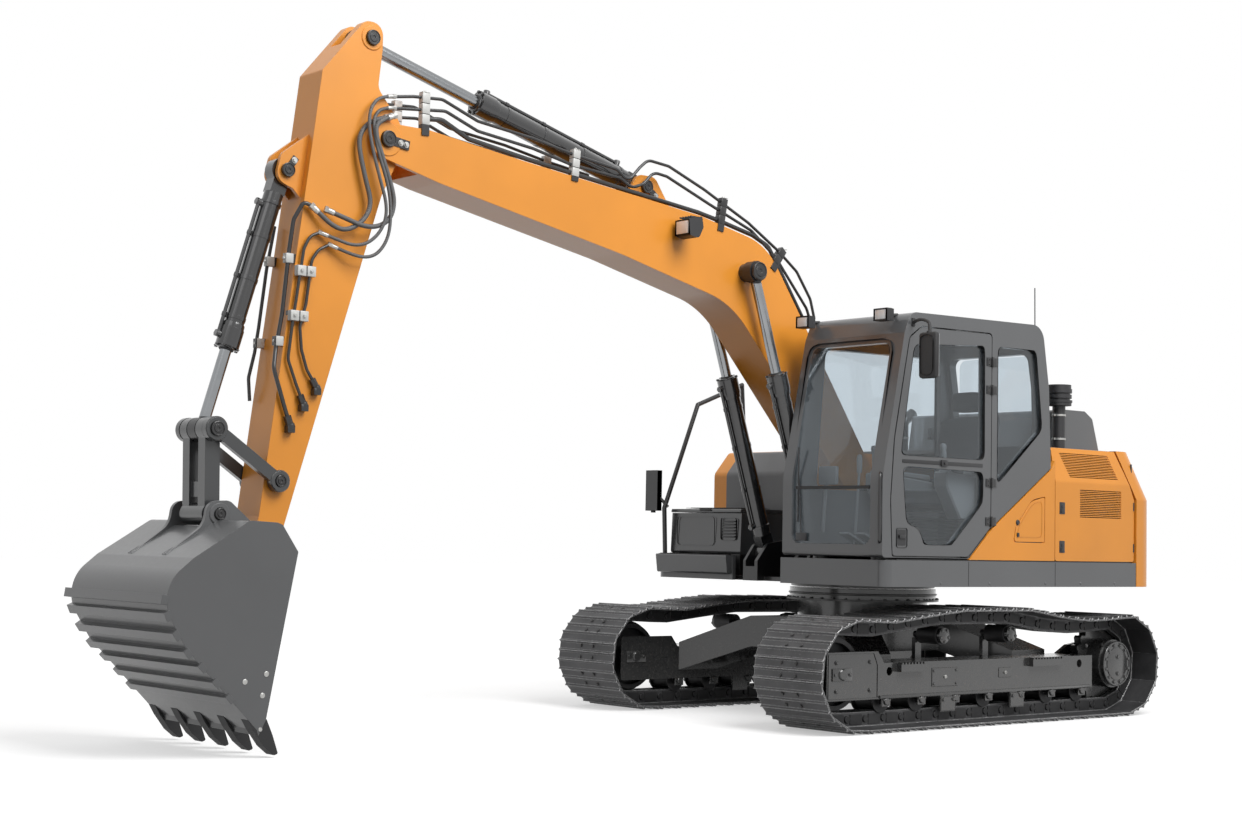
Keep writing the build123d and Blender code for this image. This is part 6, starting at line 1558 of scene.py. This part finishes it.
@dataclass
class Studio:
    """White studio: the floor, the sky and the lamps."""

    floor_half: float = 60.0
    floor_albedo: float = 0.62
    bounce_albedo: float = 0.1
    floor_glow: float = 0.71
    near_glow: float = 0.3
    lit_spot: Point = (1.5, 6.0)
    lit_reach: float = 13.0
    sky_strength: float = 0.48
    floor_drop: float = 0.002

    @staticmethod
    def seen(shader: Shader) -> Wire:
        """1 for what the camera sees, a mirror shows or glass lets through, and 0 for bounced light."""
        rays = shader.node("LightPath")
        camera, glossy, through = (
            shader.wire(rays, name) for name in ("Is Camera Ray", "Is Glossy Ray", "Is Transmission Ray"))
        return (camera + glossy + through).clamp()

    def floor(self) -> None:
        """A large white floor that keeps the shadow."""
        mesh = bpy.data.meshes.new("studio_floor")
        shape = bmesh.new()
        bmesh.ops.create_grid(shape, x_segments=1, y_segments=1, size=self.floor_half)
        shape.to_mesh(mesh)
        shape.free()
        floor = bpy.data.objects.new("studio_floor", mesh)
        bpy.context.scene.collection.objects.link(floor)
        floor.location.z = -self.floor_drop
        shader = Shader(bpy.data.materials.new("studio_floor"))
        spot = shader.node("SeparateXYZ", i0=shader.place())
        across, along = shader.wire(spot, 0) - self.lit_spot[0], shader.wire(spot, 1) - self.lit_spot[1]
        far = ((across * across + along * along) ** 0.5).step(1.0, self.lit_reach)
        matt = shader.node("BsdfDiffuse", Color=(self.floor_albedo,) * 3 + (1.0,))
        dark = shader.node("BsdfDiffuse", Color=(self.bounce_albedo,) * 3 + (1.0,))
        near_glow = shader.node("Emission", Strength=self.near_glow)
        far_glow = shader.node("Emission", Strength=self.floor_glow)
        glow = shader.node("MixShader", i0=far, i1=shader.wire(near_glow), i2=shader.wire(far_glow))
        white = shader.node("AddShader", i0=shader.wire(matt), i1=shader.wire(glow))
        shown = shader.node("MixShader", i0=self.seen(shader), i1=shader.wire(dark), i2=shader.wire(white))
        mesh.materials.append(shader.close(shown))

    def sky(self) -> None:
        """An even white sky, full white where it is seen or mirrored."""
        world = bpy.data.worlds.new("studio_sky")
        bpy.context.scene.world = world
        shader = Shader(world, "OutputWorld")
        lighting, bright = (
            shader.node("Background", Color=(1.0, 1.0, 1.0, 1.0), Strength=strength)
            for strength in (self.sky_strength, 1.0))
        shader.close(shader.node(
            "MixShader", i0=self.seen(shader), i1=shader.wire(lighting), i2=shader.wire(bright)))

    def lamp(self, name: str, place: Point, target: Point, size: float, power: float) -> None:
        """One soft square lamp.

        Args:
            name: Its name.
            place: Where it hangs.
            target: What it points at.
            size: Its side.
            power: Its power in watts.
        """
        data = bpy.data.lights.new(name, "AREA")
        data.size = size
        data.energy = power
        lamp = bpy.data.objects.new(name, data)
        bpy.context.scene.collection.objects.link(lamp)
        lamp.location = place
        lamp.rotation_euler = (Vector(target) - Vector(place)).to_track_quat("-Z", "Y").to_euler()

    def build(self) -> None:
        """Set up the whole studio."""
        self.floor()
        self.sky()
        self.lamp("key_lamp", (1.5, 8.0, 10.0), (1.5, 0.0, 1.2), 7.0, 1300.0)
        self.lamp("front_lamp", (11.0, 4.0, 9.0), (3.0, 0.0, 1.6), 5.0, 110.0)
        bpy.context.scene.view_settings.view_transform = "Standard"


@dataclass
class PhotoCamera:
    """The photograph's camera, solved from the tracks, the cab and the boom."""

    place: Point = (10.611899, 9.770605, 1.193407)
    yaw_deg: float = 49.692
    pitch_deg: float = 3.609
    roll_deg: float = 1.1446
    focal_px: float = 1972.245
    width_px: float = 1242.0
    sensor_mm: float = 36.0

    def build(self) -> None:
        """Create the camera and make it the scene's."""
        yaw, pitch, roll = (math.radians(a) for a in (self.yaw_deg, self.pitch_deg, self.roll_deg))
        ahead = Vector((-math.cos(yaw) * math.cos(pitch), -math.sin(yaw) * math.cos(pitch), math.sin(pitch)))
        level = Vector((-math.sin(yaw), math.cos(yaw), 0.0))
        above = level.cross(ahead)
        right = level * math.cos(roll) + above * math.sin(roll)
        up = above * math.cos(roll) - level * math.sin(roll)
        data = bpy.data.cameras.new("photo_camera")
        data.sensor_width = self.sensor_mm
        data.lens = self.focal_px / self.width_px * self.sensor_mm
        data.clip_end = 500.0
        camera = bpy.data.objects.new("photo_camera", data)
        bpy.context.scene.collection.objects.link(camera)
        axes = Matrix((right, up, -ahead)).transposed()
        camera.matrix_world = Matrix.Translation(self.place) @ axes.to_4x4()
        bpy.context.scene.camera = camera


def main() -> None:
    """Build every class in order and report each piece."""
    logging.basicConfig(level=logging.INFO, format="%(name)s: %(message)s")
    PhotoCamera().build()
    Studio().build()
    dress_frame()
    for assembly in (TrackChain(), Undercarriage(), BoomPipes(), ArmHoses(), CabDress(), Interior(), LampsAndMirrors(),
                     House(), Pins(), Cylinders(), Bucket()):
        assembly.build()


if __name__ == "__main__":
    main()
